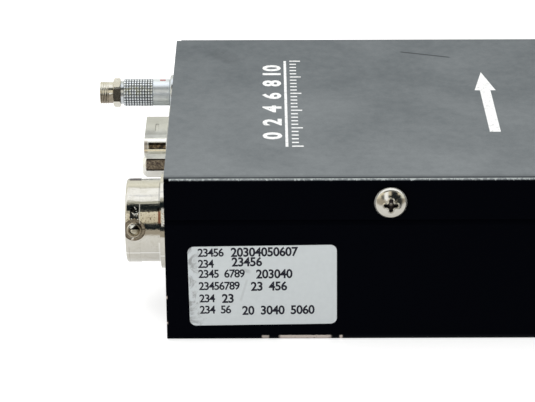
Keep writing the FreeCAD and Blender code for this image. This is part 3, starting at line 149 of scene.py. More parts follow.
class Shader:
    """The node tree of one material or of the world, built from expressions."""

    def __init__(self, tree, colour=None):
        self.tree = tree
        self.tree.nodes.clear()
        self.colour = colour

    def node(self, kind, inputs=None, **settings):
        """Adds a node: its settings are set first, then the values or links of its sockets."""
        made = self.tree.nodes.new(kind)
        for key, value in settings.items():
            setattr(made, key, value)
        for key, value in (inputs or {}).items():
            if isinstance(value, Value):
                self.tree.links.new(value.socket, made.inputs[key])
            elif value is not None:
                made.inputs[key].default_value = value
        return made

    def out(self, made, name=0):
        """One output of a node as a value."""
        return Value(self, made.outputs[name])

    def math(self, operation, first, second=0.0):
        """One Math node."""
        return self.out(self.node("ShaderNodeMath", {0: first, 1: second}, operation=operation))

    def smooth(self, value, low, high):
        """0 at low, 1 at high and a smooth rise between them."""
        inputs = {"Value": value, "From Min": low, "From Max": high}
        return self.out(self.node("ShaderNodeMapRange", inputs, interpolation_type="SMOOTHSTEP"))

    def fall(self, value, low, high):
        """1 at low, 0 at high and a smooth fall between them."""
        return 1 - self.smooth(value, low, high)

    def window(self, value, low, high, soft):
        """1 between two limits, 0 outside them, with soft edges."""
        return self.smooth(value, low - soft, low + soft) * self.fall(value, high - soft, high + soft)

    def length(self, first, second):
        """The length of a line whose two parts stand at a right angle."""
        return self.math("SQRT", first * first + second * second)

    def most(self, first, second):
        """The larger of two values."""
        return self.math("MAXIMUM", first, second)

    def place(self):
        """The point on the piece, in metres, as a vector."""
        return self.out(self.node("ShaderNodeTexCoord"), "Object")

    def parts(self, vector):
        """The x, y and z of a vector."""
        split = self.node("ShaderNodeSeparateXYZ", {"Vector": vector})
        return [self.out(split, axis) for axis in range(3)]

    def case_axes(self):
        """The point in millimetres from the cover's near, upper corner, as x, y and z."""
        corner = (cover_low.x, cover_low.y, cover_high.z)
        return [(part - low) / MM for part, low in zip(self.parts(self.place()), corner)]

    def stretched(self, scales, turn=(0.0, 0.0, 0.0)):
        """The point on the piece, turned and stretched."""
        inputs = {"Vector": self.place(), "Rotation": turn, "Scale": scales}
        return self.out(self.node("ShaderNodeMapping", inputs))

    def noise(self, scale, detail=4.0, rough=0.5, vector=None, warp=0.0):
        """Noise from 0 to 1; the scale counts per metre."""
        inputs = {"Vector": vector or self.place(), "Scale": scale, "Detail": detail}
        inputs.update({"Roughness": rough, "Distortion": warp})
        return self.out(self.node("ShaderNodeTexNoise", inputs), "Fac")

    def near_line(self, across, along, start, end, width):
        """1 on a straight stroke between two points of a plane, 0 away from it."""
        run = (end[0] - start[0], end[1] - start[1])
        length = math.hypot(*run)
        unit = (run[0] / length, run[1] / length)
        from_start = (across - start[0], along - start[1])
        forward = from_start[0] * unit[0] + from_start[1] * unit[1]
        sideways = self.math("ABSOLUTE", from_start[0] * unit[1] - from_start[1] * unit[0])
        return self.window(forward, 0.0, length, width) * self.fall(sideways, width * 0.4, width)

    def mix(self, mask, first, second):
        """One colour or another, by a mask."""
        inputs = {0: mask, 6: opaque(first), 7: opaque(second)}
        return self.out(self.node("ShaderNodeMix", inputs, data_type="RGBA"), 2)

    def coat(self, mask, colour):
        """Lays a colour over the shader's own, by a mask."""
        self.colour = self.mix(mask, self.colour, colour)

    def bump(self, height, distance, strength=1.0, below=None):
        """A surface relief: height from 0 to 1 times a distance in millimetres."""
        inputs = {"Height": height, "Distance": distance * MM, "Strength": strength, "Normal": below}
        return self.out(self.node("ShaderNodeBump", inputs))


def opaque(colour):
    """A colour with its alpha, or a link as it is."""
    return colour if isinstance(colour, Value) else (*colour, 1.0)


def set_stops(ramp, stops):
    """Gives a colour ramp its stops: (place, colour) from left to right."""
    ramp.elements[0].position, ramp.elements[1].position = stops[0][0], stops[-1][0]
    for place, _ in stops[1:-1]:
        ramp.elements.new(place)
    for element, (_, colour) in zip(ramp.elements, stops):
        element.color = opaque(colour)


FINISHES = {}


def finish_of(name, colour=None):
    """Makes a new material and gives its shader; finished() closes it."""
    material = bpy.data.materials.new(name)
    material.use_nodes = True
    FINISHES[name] = material
    return Shader(material.node_tree, colour)


def finished(shader, metal, rough, normal=None, level=0.5):
    """Closes a material with its surface."""
    inputs = {"Base Color": opaque(shader.colour), "Metallic": metal, "Roughness": rough, "Normal": normal}
    inputs["Specular IOR Level"] = level
    surface = shader.out(shader.node("ShaderNodeBsdfPrincipled", inputs))
    shader.node("ShaderNodeOutputMaterial", {"Surface": surface})


WHITE = (1.0, 1.0, 1.0, 1.0)
FLOOR_COLOUR = (0.62, 0.62, 0.62)
FLOOR_GLOW = 0.62
PAPER_GLOW = 0.64
PAPER_EDGE = 0.056
CARD_POINT = 0.048
TABLE_COLOUR = (0.38, 0.345, 0.29)
MIRRORED_SHARE = 0.38
FLOOR_HALF = 4.0


def make_floor():
    """A plain pale floor: it shows white, and only its colour, not the white, lights the meter.

    The metal sees white paper near the meter, a tan table before it and a dark wedge-shaped card."""
    half = FLOOR_HALF
    corners = [(-half, -half, 0), (half, -half, 0), (half, half, 0), (-half, half, 0)]
    mesh = bpy.data.meshes.new("floor")
    mesh.from_pydata(corners, [], [(0, 1, 2, 3)])
    floor = linked("floor", mesh)
    shader = finish_of("floor_white")
    path = shader.node("ShaderNodeLightPath")
    x, y, _ = shader.parts(shader.place())
    towards_viewer = cover_low.y - y
    table = shader.smooth(towards_viewer, PAPER_EDGE - 0.010, PAPER_EDGE + 0.010)
    wedge = (x - cover_low.x - CARD_POINT) / shader.most(towards_viewer, 0.001)
    card = shader.window(wedge, 0.52, 1.06, 0.08) * shader.smooth(towards_viewer, 0.027, 0.034)
    mirrored = shader.out(path, "Is Glossy Ray")
    paper = shader.mix(mirrored, FLOOR_COLOUR, tuple(part * MIRRORED_SHARE for part in FLOOR_COLOUR))
    colour = shader.mix(table * mirrored, paper, TABLE_COLOUR)
    colour = shader.mix(card * mirrored, colour, DARK_WALL)
    matt = shader.out(shader.node("ShaderNodeBsdfDiffuse", {"Color": colour}))
    paper_glow = mirrored * (1 - table) * (1 - card) * PAPER_GLOW
    strength = shader.out(path, "Is Camera Ray") * FLOOR_GLOW + paper_glow
    glow = shader.node("ShaderNodeEmission", {"Color": WHITE, "Strength": strength})
    both = shader.out(shader.node("ShaderNodeAddShader", {0: matt, 1: shader.out(glow)}))
    shader.node("ShaderNodeOutputMaterial", {"Surface": both})
    mesh.materials.append(FINISHES["floor_white"])


DARK_WALL = (0.011, 0.016, 0.019)
TAN_WALL = (1.00, 0.93, 0.77)
TAN_LOW = (0.80, 0.73, 0.575)
GREY_WALL = (0.56, 0.56, 0.50)
RIGHT_WALL = (0.15, 0.155, 0.145)
BACK_WALL = (0.96, 0.96, 0.88)
BACK_BRIGHT = (1.10, 1.09, 0.98)
BACK_DARK = (0.84, 0.84, 0.79)
CEILING_LIGHT = (1.32, 1.34, 1.38)
CEILING_SEAM = (0.80, 0.82, 0.90)
ROOM_STOPS = [
    (0.000, DARK_WALL), (0.090, DARK_WALL), (0.103, TAN_LOW), (0.180, TAN_LOW), (0.240, TAN_WALL),
    (0.256, TAN_WALL), (0.284, DARK_WALL), (0.385, DARK_WALL), (0.402, GREY_WALL), (0.430, GREY_WALL),
    (0.462, CEILING_LIGHT), (0.524, CEILING_LIGHT), (0.538, CEILING_SEAM), (0.552, CEILING_LIGHT),
    (0.682, CEILING_LIGHT), (0.706, BACK_DARK), (0.765, BACK_BRIGHT), (0.860, BACK_WALL), (1.000, BACK_DARK),
]
ROOM_FILL = 0.62


def backdrop(shader, colour, strength=1.0):
    """One background of the world."""
    return shader.out(shader.node("ShaderNodeBackground", {"Color": colour, "Strength": strength}))


def make_world():
    """A studio round the meter: in front a dark wall with a tan screen, above a bright ceiling,
    behind a pale wall. The metal shows it by the angle round the X axis, from the front over the top."""
    world = bpy.data.worlds.new("studio")
    bpy.context.scene.world = world
    world.use_nodes = True
    shader = Shader(world.node_tree)
    direction = shader.out(shader.node("ShaderNodeTexCoord"), "Generated")
    sideways, away, up = shader.parts(direction)
    over = shader.math("ARCTAN2", up, 0 - away) / math.pi
    ramp = shader.node("ShaderNodeValToRGB", {"Fac": over})
    set_stops(ramp.color_ramp, ROOM_STOPS)
    walls = shader.out(ramp)
    window = shader.window(sideways, -0.40, -0.14, 0.04) * shader.fall(over, 0.20, 0.27)
    right_side = shader.window(sideways, 0.06, 0.50, 0.06)
    right_shade = shader.mix(shader.smooth(over, 0.14, 0.24), DARK_WALL, RIGHT_WALL)
    left_wall = shader.fall(sideways, -0.66, -0.50) * shader.fall(over, 0.36, 0.44)
    right_wall = shader.smooth(sideways, 0.60, 0.74) * shader.fall(over, 0.30, 0.44)
    walls = shader.mix(right_side * shader.window(over, 0.01, 0.42, 0.02), walls, right_shade)
    walls = shader.mix(window, walls, CEILING_LIGHT)
    walls = shader.mix(left_wall, walls, TAN_WALL)
    walls = shader.mix(right_wall, walls, BACK_WALL)
    path = shader.node("ShaderNodeLightPath")
    final = backdrop(shader, WHITE, ROOM_FILL)
    for ray, seen in (("Is Glossy Ray", backdrop(shader, walls)), ("Is Camera Ray", backdrop(shader, WHITE))):
        inputs = {0: shader.out(path, ray), 1: final, 2: seen}
        final = shader.out(shader.node("ShaderNodeMixShader", inputs))
    shader.node("ShaderNodeOutputWorld", {"Surface": final})


def make_lights():
    """Two soft lamps: a large one above and behind, a weaker one in front on the left."""
    make_lamp("top_softbox", (-0.15, 0.25, 1.0), 0.9, 7.0, (1.0, 0.99, 0.97))
    make_lamp("front_fill", (-0.5, -1.1, 0.5), 0.7, 6.0, (0.98, 0.99, 1.0))


# Mesh tools


def settle_piece(name, mesh, finish, body, smooth_angle):
    """Links a mesh as a piece, shades it and gives it its finish, slot and body."""
    mesh.materials.clear()
    mesh.materials.append(FINISHES[finish])
    mesh.shade_smooth()
    mesh.set_sharp_from_angle(angle=math.radians(smooth_angle))
    made = linked(name, mesh)
    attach(made, body)
    return made


@contextmanager
def opened(mesh):
    """A mesh opened for an edit, which is kept at the end."""
    work = bmesh.new()
    work.from_mesh(mesh)
    yield work
    work.to_mesh(mesh)
    work.free()


def piece_from(name, shells, finish, body=HOUSING, smooth_angle=30.0, facing=None):
    """A new piece from shells, each a list of points in millimetres and its faces.

    Its corners are merged and its faces turned outwards; those of a flat print all face one way."""
    points = []
    faces = []
    for vertices, shell_faces in shells:
        start = len(points)
        points.extend((np.asarray(vertices) * MM).tolist())
        faces.extend([[start + corner for corner in face] for face in shell_faces])
    mesh = bpy.data.meshes.new(name)
    mesh.from_pydata(points, [], faces)
    with opened(mesh) as work:
        if facing:
            work.normal_update()
            turned = [face for face in work.faces if face.normal.dot(Vector(facing)) < 0]
            bmesh.ops.reverse_faces(work, faces=turned)
        else:
            bmesh.ops.remove_doubles(work, verts=work.verts, dist=0.0005 * MM)
            bmesh.ops.recalc_face_normals(work, faces=work.faces)
    return settle_piece(name, mesh, finish, body, smooth_angle)


def grid_faces(rows, columns, wrap_rows=False, wrap_columns=True):
    """The quads of a grid of points numbered row by row."""
    row_count = rows if wrap_rows else rows - 1
    column_count = columns if wrap_columns else columns - 1
    row, column = np.meshgrid(np.arange(row_count), np.arange(column_count), indexing="ij")
    next_row = (row + 1) % rows
    next_column = (column + 1) % columns
    corners = [row * columns + column, next_row * columns + column]
    corners += [next_row * columns + next_column, row * columns + next_column]
    return np.stack(corners, -1).reshape(-1, 4).tolist()


def turned_rows(profile, columns):
    """Places along an axis and rows of equal radii, from a profile of (along, radius) pairs."""
    along, radius = np.array(profile, float).T
    return along, np.repeat(radius[:, None], columns, 1)


def turned_shell(along, radius, centre, axis):
    """A closed surface round an axis: a point lies at along[i] and radius[i, j] at angle 2 pi j / n."""
    rows, columns = radius.shape
    angle = np.arange(columns) * 2 * np.pi / columns
    along = np.repeat(along[:, None], columns, 1)
    first = radius * np.cos(angle)
    second = radius * np.sin(angle)
    order = {"X": (along, first, second), "Y": (first, along, second)}[axis]
    return np.stack(order, -1).reshape(-1, 3) + centre, grid_faces(rows, columns, wrap_rows=True)


FLAT_ANGLE = 0.6
SHARP_ANGLE = 30.0
BARREL_SMOOTH_ANGLE = 12.0
SLOTS = {part["node"]: part["material_slot"] for part in frame["record"]["subparts"]}
OWN_FINISHES = {"power_shell": "barrel_nickel", "signal_jackscrew": "worn_hexagon"}
EDGE_RADII = {
    "cover_upper": 0.12, "tray_lower": 0.12, "connector_panel": 0.10, "rating_label": 0.03,
    "power_shell": 0.10, "power_insert": 0.08, "power_gasket": 0.08, "signal_shell_front": 0.22,
    "signal_insulator": 0.05, "signal_jackscrew": 0.18, "service_socket": 0.08, "plug_body": 0.05,
    "plug_collet_nut": 0.06, "flow_body": 0.15, "gland_seals": 0.10, "panel_screws": 0.06,
    "tray_screws": 0.06,
}


def new_skin(node, shells, finish, smooth_angle, body=HOUSING):
    """A new piece that takes the place of a CAD piece, in the finish given."""
    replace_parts(piece_from(node + "_skin", shells, finish, body, smooth_angle), node)


def clean_copy(node):
    """A copy of a CAD piece's mesh with merged corners and undivided flats."""
    mesh = frame["nodes"][node].data.copy()
    limit = math.radians(FLAT_ANGLE)
    with opened(mesh) as work:
        bmesh.ops.remove_doubles(work, verts=work.verts, dist=0.002 * MM)
        bmesh.ops.dissolve_limit(work, angle_limit=limit, verts=work.verts, edges=work.edges)
    return mesh


def dressed(node, edge_radius):
    """A copy of a CAD piece with small rounded edges, in its finish; its flats are shaded flat."""
    slot = SLOTS[node]
    finish = OWN_FINISHES.get(node, slot)
    smooth_angle = BARREL_SMOOTH_ANGLE if node == "power_shell" else SHARP_ANGLE
    made = settle_piece(node + "_skin", clean_copy(node), finish, HOUSING, smooth_angle)
    edge = made.modifiers.new("edge", "BEVEL")
    edge.width = edge_radius * MM
    edge.segments = 2
    edge.limit_method = "ANGLE"
    edge.angle_limit = math.radians(SHARP_ANGLE)
    edge.harden_normals = True
    made.modifiers.new("flat", "WEIGHTED_NORMAL").weight = 100
    made.modifiers["flat"].keep_sharp = True
    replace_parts(made, node)


# Finishes

BLACK_PAINT = (0.0008, 0.0011, 0.0024)
# The broad face's greys: partly dust, partly a painted sheen.
DUST_AND_SHEEN_PAINT = (0.112, 0.126, 0.134)
LIGHT_DUST_AND_SHEEN_PAINT = (0.222, 0.240, 0.248)
# The fold's bright line: mostly a painted highlight, partly rubbed paint.
WORN_EDGE_AND_HIGHLIGHT = (0.395, 0.428, 0.42)
BARE_SHEET = (0.56, 0.49, 0.44)


def paint_finish():
    """Satin black paint, grey on the broad face and chipped at the corners.

    The broad face's grey is partly dust and partly painted sheen, lighter towards the near edge. The bright
    line along the upper fold is mostly a painted highlight and partly rubbed paint; the lower fold has a
    painted reflection.
    """
    shader = finish_of("black_paint")
    x, y, z = shader.case_axes()
    # The broad face: its grey is partly dust and partly a painted sheen, lighter towards the near edge.
    broad = shader.smooth(z, -0.30, -0.04)
    cloud = shader.smooth(shader.noise(38.0, 4.0, 0.55, warp=0.5), 0.25, 0.75)
    mottle = shader.noise(420.0, 4.0, 0.65)
    grain = shader.noise(2600.0, 2.0, 0.5)
    to_near = shader.fall(y, -6.0, 92.0)
    shade = cloud * 0.42 + mottle * 0.62 + grain * 0.40 + to_near * 0.42 - 0.52
    shader.colour = shader.mix(shade, DUST_AND_SHEEN_PAINT, LIGHT_DUST_AND_SHEEN_PAINT)
    # Dark marks, and the fold's painted shade line.
    shader.coat(marks_and_shade_line(shader, x, y) * 0.80, (0.040, 0.045, 0.050))
    # Off the broad face the paint is black, except a painted reflection of the floor on the lower fold.
    low_fold_sheen = shader.fall(z, -38.0, -36.6) * shader.smooth(x, 10.0, 60.0) * 0.10
    shader.colour = shader.mix(broad, shader.mix(low_fold_sheen, BLACK_PAINT, DUST_AND_SHEEN_PAINT), shader.colour)
    # The bright line on the upper fold: mostly a painted highlight, partly rubbed paint.
    shader.coat(fold_wear_and_highlight(shader, x, y, z), WORN_EDGE_AND_HIGHLIGHT)
    shader.coat(chips(shader, x, y, z), BARE_SHEET)
    rough = 0.40 + 0.12 * shader.smooth(grain, 0.3, 0.7) + 0.06 * cloud
    finished(shader, 0.0, rough, shader.bump(grain, 0.012, 0.6), 0.012)


def marks_and_shade_line(shader, x, y):
    """Darker marks on the broad face: a smudge, its speck, a long scratch and the fold's painted shade line.
    """
    blur = shader.noise(170.0, 4.0, 0.6)
    smudge = shader.near_line(x, y, (9.6, 71.6), (14.2, 65.6), 3.6)
    smudge = smudge * (0.16 + 0.24 * shader.smooth(blur, 0.35, 0.65))
    speck = shader.near_line(x, y, (11.2, 70.7), (11.6, 70.9), 0.40) * 0.7
    scratch = shader.near_line(x, y, (53.5, 71.2), (64.9, 67.7), 0.42) * shader.smooth(blur, 0.26, 0.46)
    # The fold's shade line: painted shade.
    shade_line = shader.window(y, 0.92, 1.66, 0.14) * (1.02 + 0.35 * blur)
    shade_line = shader.most(shade_line, shader.window(y, 1.5, 2.4, 0.5) * 0.40)
    return shader.most(shader.most(smudge, speck), shader.most(scratch, shade_line))


def fold_wear_and_highlight(shader, x, y, z):
    """The bright line along the upper front fold, mostly a painted highlight and partly rubbed paint: its
    lower edge is ragged and its shine uneven.
    """
    ragged = shader.noise(1900.0, 3.0, 0.7, shader.stretched((1.0, 0.3, 0.3)))
    blobs = shader.noise(2200.0, 2.0, 0.6, shader.stretched((1.0, 0.3, 0.3), (0.4, 0.0, 0.0)))
    low_edge = shader.smooth(y + ragged * 1.50, 1.15, 1.30)
    high_edge = shader.fall(y + blobs * 0.40, 0.98, 1.20)
    clear_of_notch = shader.smooth(x, 0.9, 1.3)
    shine = 0.16 + 0.84 * shader.smooth(blobs, 0.40, 0.60)
    return low_edge * high_edge * shader.smooth(z, -0.42, -0.22) * shine * clear_of_notch


def chips(shader, x, y, z):
    """Bare sheet: nicks on the left edge and rubbed spots on the lower fold."""
    ragged = shader.noise(900.0, 5.0, 0.7)
    left_edge = shader.fall(x, 0.16, 0.34)
    nicks = shader.most(shader.window(z, -27.9, -27.2, 0.2), shader.window(z, -34.0, -33.4, 0.2)) * left_edge
    low = shader.fall(z + ragged * 0.4, -36.72, -36.56)
    spots = shader.most(shader.window(x, 20.4, 21.9, 0.2) * 0.7, shader.window(x, 24.2, 35.2, 0.4))
    spots = shader.most(spots, shader.window(x, 37.1, 37.7, 0.2)) * low * shader.fall(y, 0.9, 1.4)
    return shader.most(nicks, spots) * shader.smooth(ragged, 0.30, 0.44)


def ink_finish(name, light, dark):
    """Printed ink, a little uneven."""
    shader = finish_of(name)
    grain = shader.noise(1800.0, 3.0, 0.6)
    shader.colour = shader.mix(shader.smooth(grain, 0.25, 0.5), dark, light)
    finished(shader, 0.0, 0.55, shader.bump(grain, 0.01, 0.4), 0.3)


def label_finish():
    """Matt grey-white label film, smudged along its connector end."""
    shader = finish_of("label_film")
    x, _, z = shader.case_axes()
    fibre = shader.noise(900.0, 4.0, 0.6)
    smear = shader.noise(260.0, 5.0, 0.75, warp=1.2)
    near_left = shader.fall(x, 5.0, 10.5)
    dirt = shader.smooth(smear + near_left * 0.23, 0.66, 0.84)
    paper = shader.mix(fibre, (0.56, 0.595, 0.60), (0.63, 0.665, 0.67))
    arc = shader.near_line(x, z, (17.3, -23.2), (15.9, -28.3), 0.35) * 0.5
    rub = shader.most(arc, shader.near_line(x, z, (16.4, -20.9), (17.9, -21.3), 0.6))
    shader.colour = shader.mix(shader.most(dirt * 0.62, rub * 0.28), paper, (0.16, 0.155, 0.15))
    finished(shader, 0.0, 0.5 + 0.15 * fibre, shader.bump(fibre, 0.006, 0.5), 0.4)


def plated(name, light, dark, rough, spread, scratch_scales, dirt=0.0):
    """Opens a finish of plated metal: tarnish in patches, fine scratches and specks of dirt.

    Gives the shader with its colour, the roughness and the relief; finished() closes it."""
    shader = finish_of(name)
    patches = shader.noise(420.0, 5.0, 0.65, warp=0.6)
    lines = shader.noise(1.0, 3.0, 0.6, shader.stretched(scratch_scales))
    specks = shader.smooth(shader.noise(1500.0, 4.0, 0.7), 0.60, 0.72)
    shader.colour = shader.mix(shader.smooth(patches, 0.35, 0.75), light, dark)
    shader.coat(specks * dirt, (0.10, 0.075, 0.05))
    worn = shader.smooth(patches, 0.40, 0.85)
    roughness = rough + spread * worn + spread * 0.5 * shader.smooth(lines, 0.5, 0.8)
    return shader, roughness, shader.bump(lines, 0.004, 0.35)


def plated_finish(name, *looks):
    """Plated metal with nothing but its own tarnish."""
    shader, roughness, relief = plated(name, *looks)
    finished(shader, 1.0, roughness, relief)


def around(shader, node, axis="X"):
    """Places round a node's own axis in millimetres: along it, and the two distances across it."""
    middle = middle_of(node)
    x, y, z = [part / MM for part in shader.parts(shader.place())]
    along = {"X": x - size_of(node)[1][0], "Y": y - middle[1]}[axis]
    across = {"X": y - middle[1], "Y": x - middle[0]}[axis]
    return along, across, z - middle[2]


STUD_X = -7.1
STUD_ANGLES = (12.5, 132.5, 252.5)
STUD_RADIUS = 1.65
SPOT_RADIUS = 2.4
SPOT_HEIGHT = 8.75
BARREL_NICKEL = ((0.67, 0.65, 0.585), (0.60, 0.575, 0.50), 0.05, 0.07, (900, 7000, 7000), 0.25)


def barrel_finish():
    """Bright nickel of the round receptacle: pitted in front, with a dirty patch before the step."""
    shader, roughness, relief = plated("barrel_nickel", *BARREL_NICKEL)
    x, across, up = around(shader, "power_gasket")
    near = shader.fall(across, -1.0, 1.0)
    pits = shader.noise(2700.0, 3.0, 0.65)
    coarse = shader.noise(1500.0, 5.0, 0.75)
    band = shader.window(up, 3.0, 6.6, 0.5) * near
    patch = shader.window(x, -8.0, -6.1, 0.12) * shader.window(up, 3.3, 6.4, 0.25) * near
    lip_patch = shader.window(x, -9.0, -8.0, 0.3) * shader.window(up, 3.6, 6.2, 0.4) * near
    film = patch * shader.smooth(coarse, 0.36, 0.44) + lip_patch * shader.smooth(coarse, 0.52, 0.62) * 0.6
    out, side = stud_axes(across, up)
    from_stud = shader.length(x - STUD_X, side)
    film = film * shader.smooth(from_stud, SPOT_RADIUS - 0.05, SPOT_RADIUS + 0.05)
    shader.coat(band * shader.smooth(pits, 0.54, 0.64) * 0.85, (0.17, 0.12, 0.075))
    shader.coat(film * 0.98, (0.004, 0.006, 0.010))
    # The near spot face: brown, darker towards its rim and round the stud.
    shader.coat(spot_tone(shader, out, from_stud), (0.31, 0.26, 0.20))
    stain = shader.window(x, -8.4, -5.9, 0.2) * shader.window(across, 0.9, 3.6, 0.25)
    shader.coat(stain * shader.smooth(up, 6.0, 6.5) * 0.96, (0.040, 0.012, 0.014))
    rust = shader.window(x, -1.95, -1.30, 0.08) * shader.window(up, 3.2, 6.2, 0.3) * near
    shader.coat(rust * 0.90, (0.20, 0.065, 0.03))
    # Before the flange: grey on top, and a painted highlight stripe on the lower near side.
    root = shader.window(x, -1.92, -1.54, 0.06) * near
    shader.coat(root * shader.smooth(up, 6.3, 6.6), (0.42, 0.41, 0.37))
    shader.coat(root * shader.fall(up, -1.2, -0.8), (0.79, 0.78, 0.72))
    # A painted highlight: a thin bright line along the lower near side.
    line = shader.window(up, -3.98, -3.76, 0.06) * near
    shader.coat(line, (0.95, 0.95, 0.91))
    seam = shader.window(x, -8.42, -8.28, 0.04) * shader.fall(up, -2.2, -1.8) * 0.35
    shader.coat(seam, (0.32, 0.25, 0.18))
    flakes = film * shader.smooth(shader.noise(1900.0, 3.0, 0.6), 0.58, 0.63)
    ridge = shader.window(x, -6.02, -5.84, 0.05) * shader.window(up, 3.2, 6.9, 0.2) * near * 0.7
    flange = shader.smooth(x, -1.22, -1.12) * shader.window(up, 3.4, 6.8, 0.2) * near
    dull = shader.most(shader.most(flakes, ridge), flange * shader.smooth(coarse, 0.40, 0.50) * 0.85)
    shader.coat(dull, (0.80, 0.795, 0.73))
    pitted = shader.bump(pits, 0.010, 1.0, shader.bump(shader.noise(1200.0, 2.0, 0.5), 0.012, 1.0, relief))
    finished(shader, 1 - 0.8 * dull, roughness + 0.04 * band + 0.3 * dull, pitted)


def stud_axes(across, up):
    """Distances from the barrel's axis along the near stud and sideways to it."""
    angle = math.radians(STUD_ANGLES[0])
    out = up * math.sin(angle) - across * math.cos(angle)
    return out, up * math.cos(angle) + across * math.sin(angle)


def spot_tone(shader, out, radius):
    """A brown tone in the near spot face, darker towards its rim and round the stud."""
    face = shader.fall(radius, SPOT_RADIUS, SPOT_RADIUS + 0.06) * shader.smooth(out, 8.0, 8.3)
    rim = shader.smooth(radius, SPOT_RADIUS - 0.28, SPOT_RADIUS - 0.12)
    inner = shader.fall(radius, STUD_RADIUS + 0.02, STUD_RADIUS + 0.22)
    return face * (0.45 + 0.50 * shader.most(rim, inner))


def stud_finish():
    """Worn nickel of the studs. On the near one: a painted highlight at its upper left, painted shade in a
    black arc under it and in a dark ring, and a tan middle that is a painted reflection.
    """
    looks = ((0.66, 0.62, 0.53), (0.46, 0.41, 0.32), 0.10, 0.08, (900, 7000, 7000), 0.15)
    shader, roughness, relief = plated("stud_nickel", *looks)
    along, across, up = around(shader, "power_gasket")
    x = along - STUD_X
    out, side = stud_axes(across, up)
    near = shader.smooth(out, 8.2, 8.6)
    from_disc = shader.length(x - 0.05, side + 0.30)
    disc = shader.fall(from_disc, 0.80, 0.90) * near * shader.fall(side, 0.12, 0.20)
    crescent = shader.fall(from_disc, 1.22, 1.34) * near * shader.smooth(side, 0.12, 0.20)
    ring = shader.window(from_disc, 0.86, 1.02, 0.04) * near * 0.6
    stud_highlight = shader.most(shader.near_line(x, side, (-0.95, 1.04), (0.25, 1.12), 0.20),
                       shader.near_line(x, side, (-0.05, 1.05), (-0.95, 0.42), 0.30)) * near
    # Near stud: a tan painted reflection in the middle, painted shade in a ring and an arc, a painted
    # highlight at the upper left.
    shader.coat(disc * 0.90, (0.66, 0.62, 0.50))
    shader.coat(ring, (0.16, 0.125, 0.10))
    shader.coat(crescent * 0.96, (0.012, 0.010, 0.012))
    shader.coat(stud_highlight, (0.90, 0.90, 0.84))
    finished(shader, 1 - 0.85 * stud_highlight, roughness + 0.2 * disc, relief)


def shell_finish():
    """Tinned D shell: clean on top; its near end has a speckled dark painted reflection, a painted gold
    reflection below it, a painted highlight on the bend above, and brown at its mouth lip.
    """
    looks = ((0.68, 0.68, 0.625), (0.63, 0.63, 0.575), 0.15, 0.08, (900, 5000, 5000), 0.06)
    shader, roughness, relief = plated("tinned_shell", *looks)
    x, y, z = shader.case_axes()
    coarse = shader.noise(1300.0, 4.0, 0.7)
    near_end = shader.fall(y, 54.2, 55.0)
    # A speckled dark painted reflection on the near end, facing the jackscrew.
    pane = shader.window(x, -6.0, -1.9, 0.15) * shader.window(z, -16.7, -15.35, 0.12) * near_end
    speckle = shader.smooth(coarse, 0.40, 0.62)
    shader.coat(pane * 0.97, shader.mix(speckle, (0.010, 0.008, 0.006), (0.20, 0.15, 0.09)))
    lip = shader.fall(x, -6.35, -6.1) * shader.window(z, -17.6, -15.0, 0.3) * near_end
    shader.coat(lip * 0.55, (0.20, 0.13, 0.08))
    # A painted gold reflection below it.
    gold_reflection = shader.window(z, -17.15, -16.75, 0.1) * near_end * 0.7
    shader.coat(gold_reflection, (0.92, 0.80, 0.56))
    # A painted highlight on the bend above it.
    bright = shader.window(z, -15.15, -14.15, 0.15) * shader.fall(y, 56.0, 57.0) * 0.8
    shader.coat(bright, (0.98, 0.98, 0.93))
    finished(shader, 0.55 + 0.45 * pane, roughness, relief)


JACKSCREW_FACET = 2.375
JACKSCREW_CENTRE = (48.305, -19.0)
JACKSCREW_TURN = math.radians(30)


def hexagon_finish():
    """Tinned jackscrew: bright, but its near facet is dark brown and mottled, with painted shade along its
    edges.
    """
    looks = ((0.90, 0.89, 0.83), (0.80, 0.78, 0.71), 0.20, 0.06, (900, 2500, 2500), 0.02)
    shader, roughness, relief = plated("worn_hexagon", *looks)
    x, y, z = shader.case_axes()
    towards = JACKSCREW_CENTRE[0] - y
    up = z - JACKSCREW_CENTRE[1]
    out = towards * math.cos(JACKSCREW_TURN) + up * math.sin(JACKSCREW_TURN)
    side = towards * math.sin(JACKSCREW_TURN) - up * math.cos(JACKSCREW_TURN)
    facet = shader.smooth(out, JACKSCREW_FACET - 0.06, JACKSCREW_FACET - 0.02) * shader.smooth(x, -6.4, -6.15)
    grime = shader.noise(2300.0, 5.0, 0.8)
    # Painted shade along the near facet's edges.
    edge = shader.smooth(shader.math("ABSOLUTE", side), 1.00, 1.16)
    dark = shader.mix(shader.smooth(grime, 0.40, 0.66), (0.052, 0.038, 0.034), (0.27, 0.235, 0.19))
    dark = shader.mix(edge, dark, (0.012, 0.009, 0.007))
    shader.coat(facet * 0.98, dark)
    finished(shader, 0.6 + 0.4 * facet, roughness, relief)


def collet_finish():
    """Worn nickel of the collet nut: its near facet is brown, and painted shade darkens the low side of its
    threads brown.
    """
    looks = ((0.76, 0.74, 0.66), (0.64, 0.60, 0.50), 0.16, 0.08, (9000, 900, 900), 0.04)
    shader, roughness, relief = plated("warm_nickel", *looks)
    along, across, up = around(shader, "plug_collet_nut")
    grime = shader.noise(1500.0, 4.0, 0.7)
    near = shader.fall(across, -1.6, -0.9)
    hexagon = shader.smooth(along, -1.95, -1.80)
    facet = hexagon * near * shader.window(up, -0.95, 2.0, 0.10)
    # The low side of the threads: painted shade.
    thread = (1 - hexagon) * near * shader.fall(up, 0.1, 1.0)
    dark = shader.mix(shader.smooth(grime, 0.35, 0.65), (0.16, 0.125, 0.080), (0.26, 0.205, 0.135))
    shader.coat(facet * 0.80 + thread * 0.78, dark)
    finished(shader, 1.0, roughness, relief)


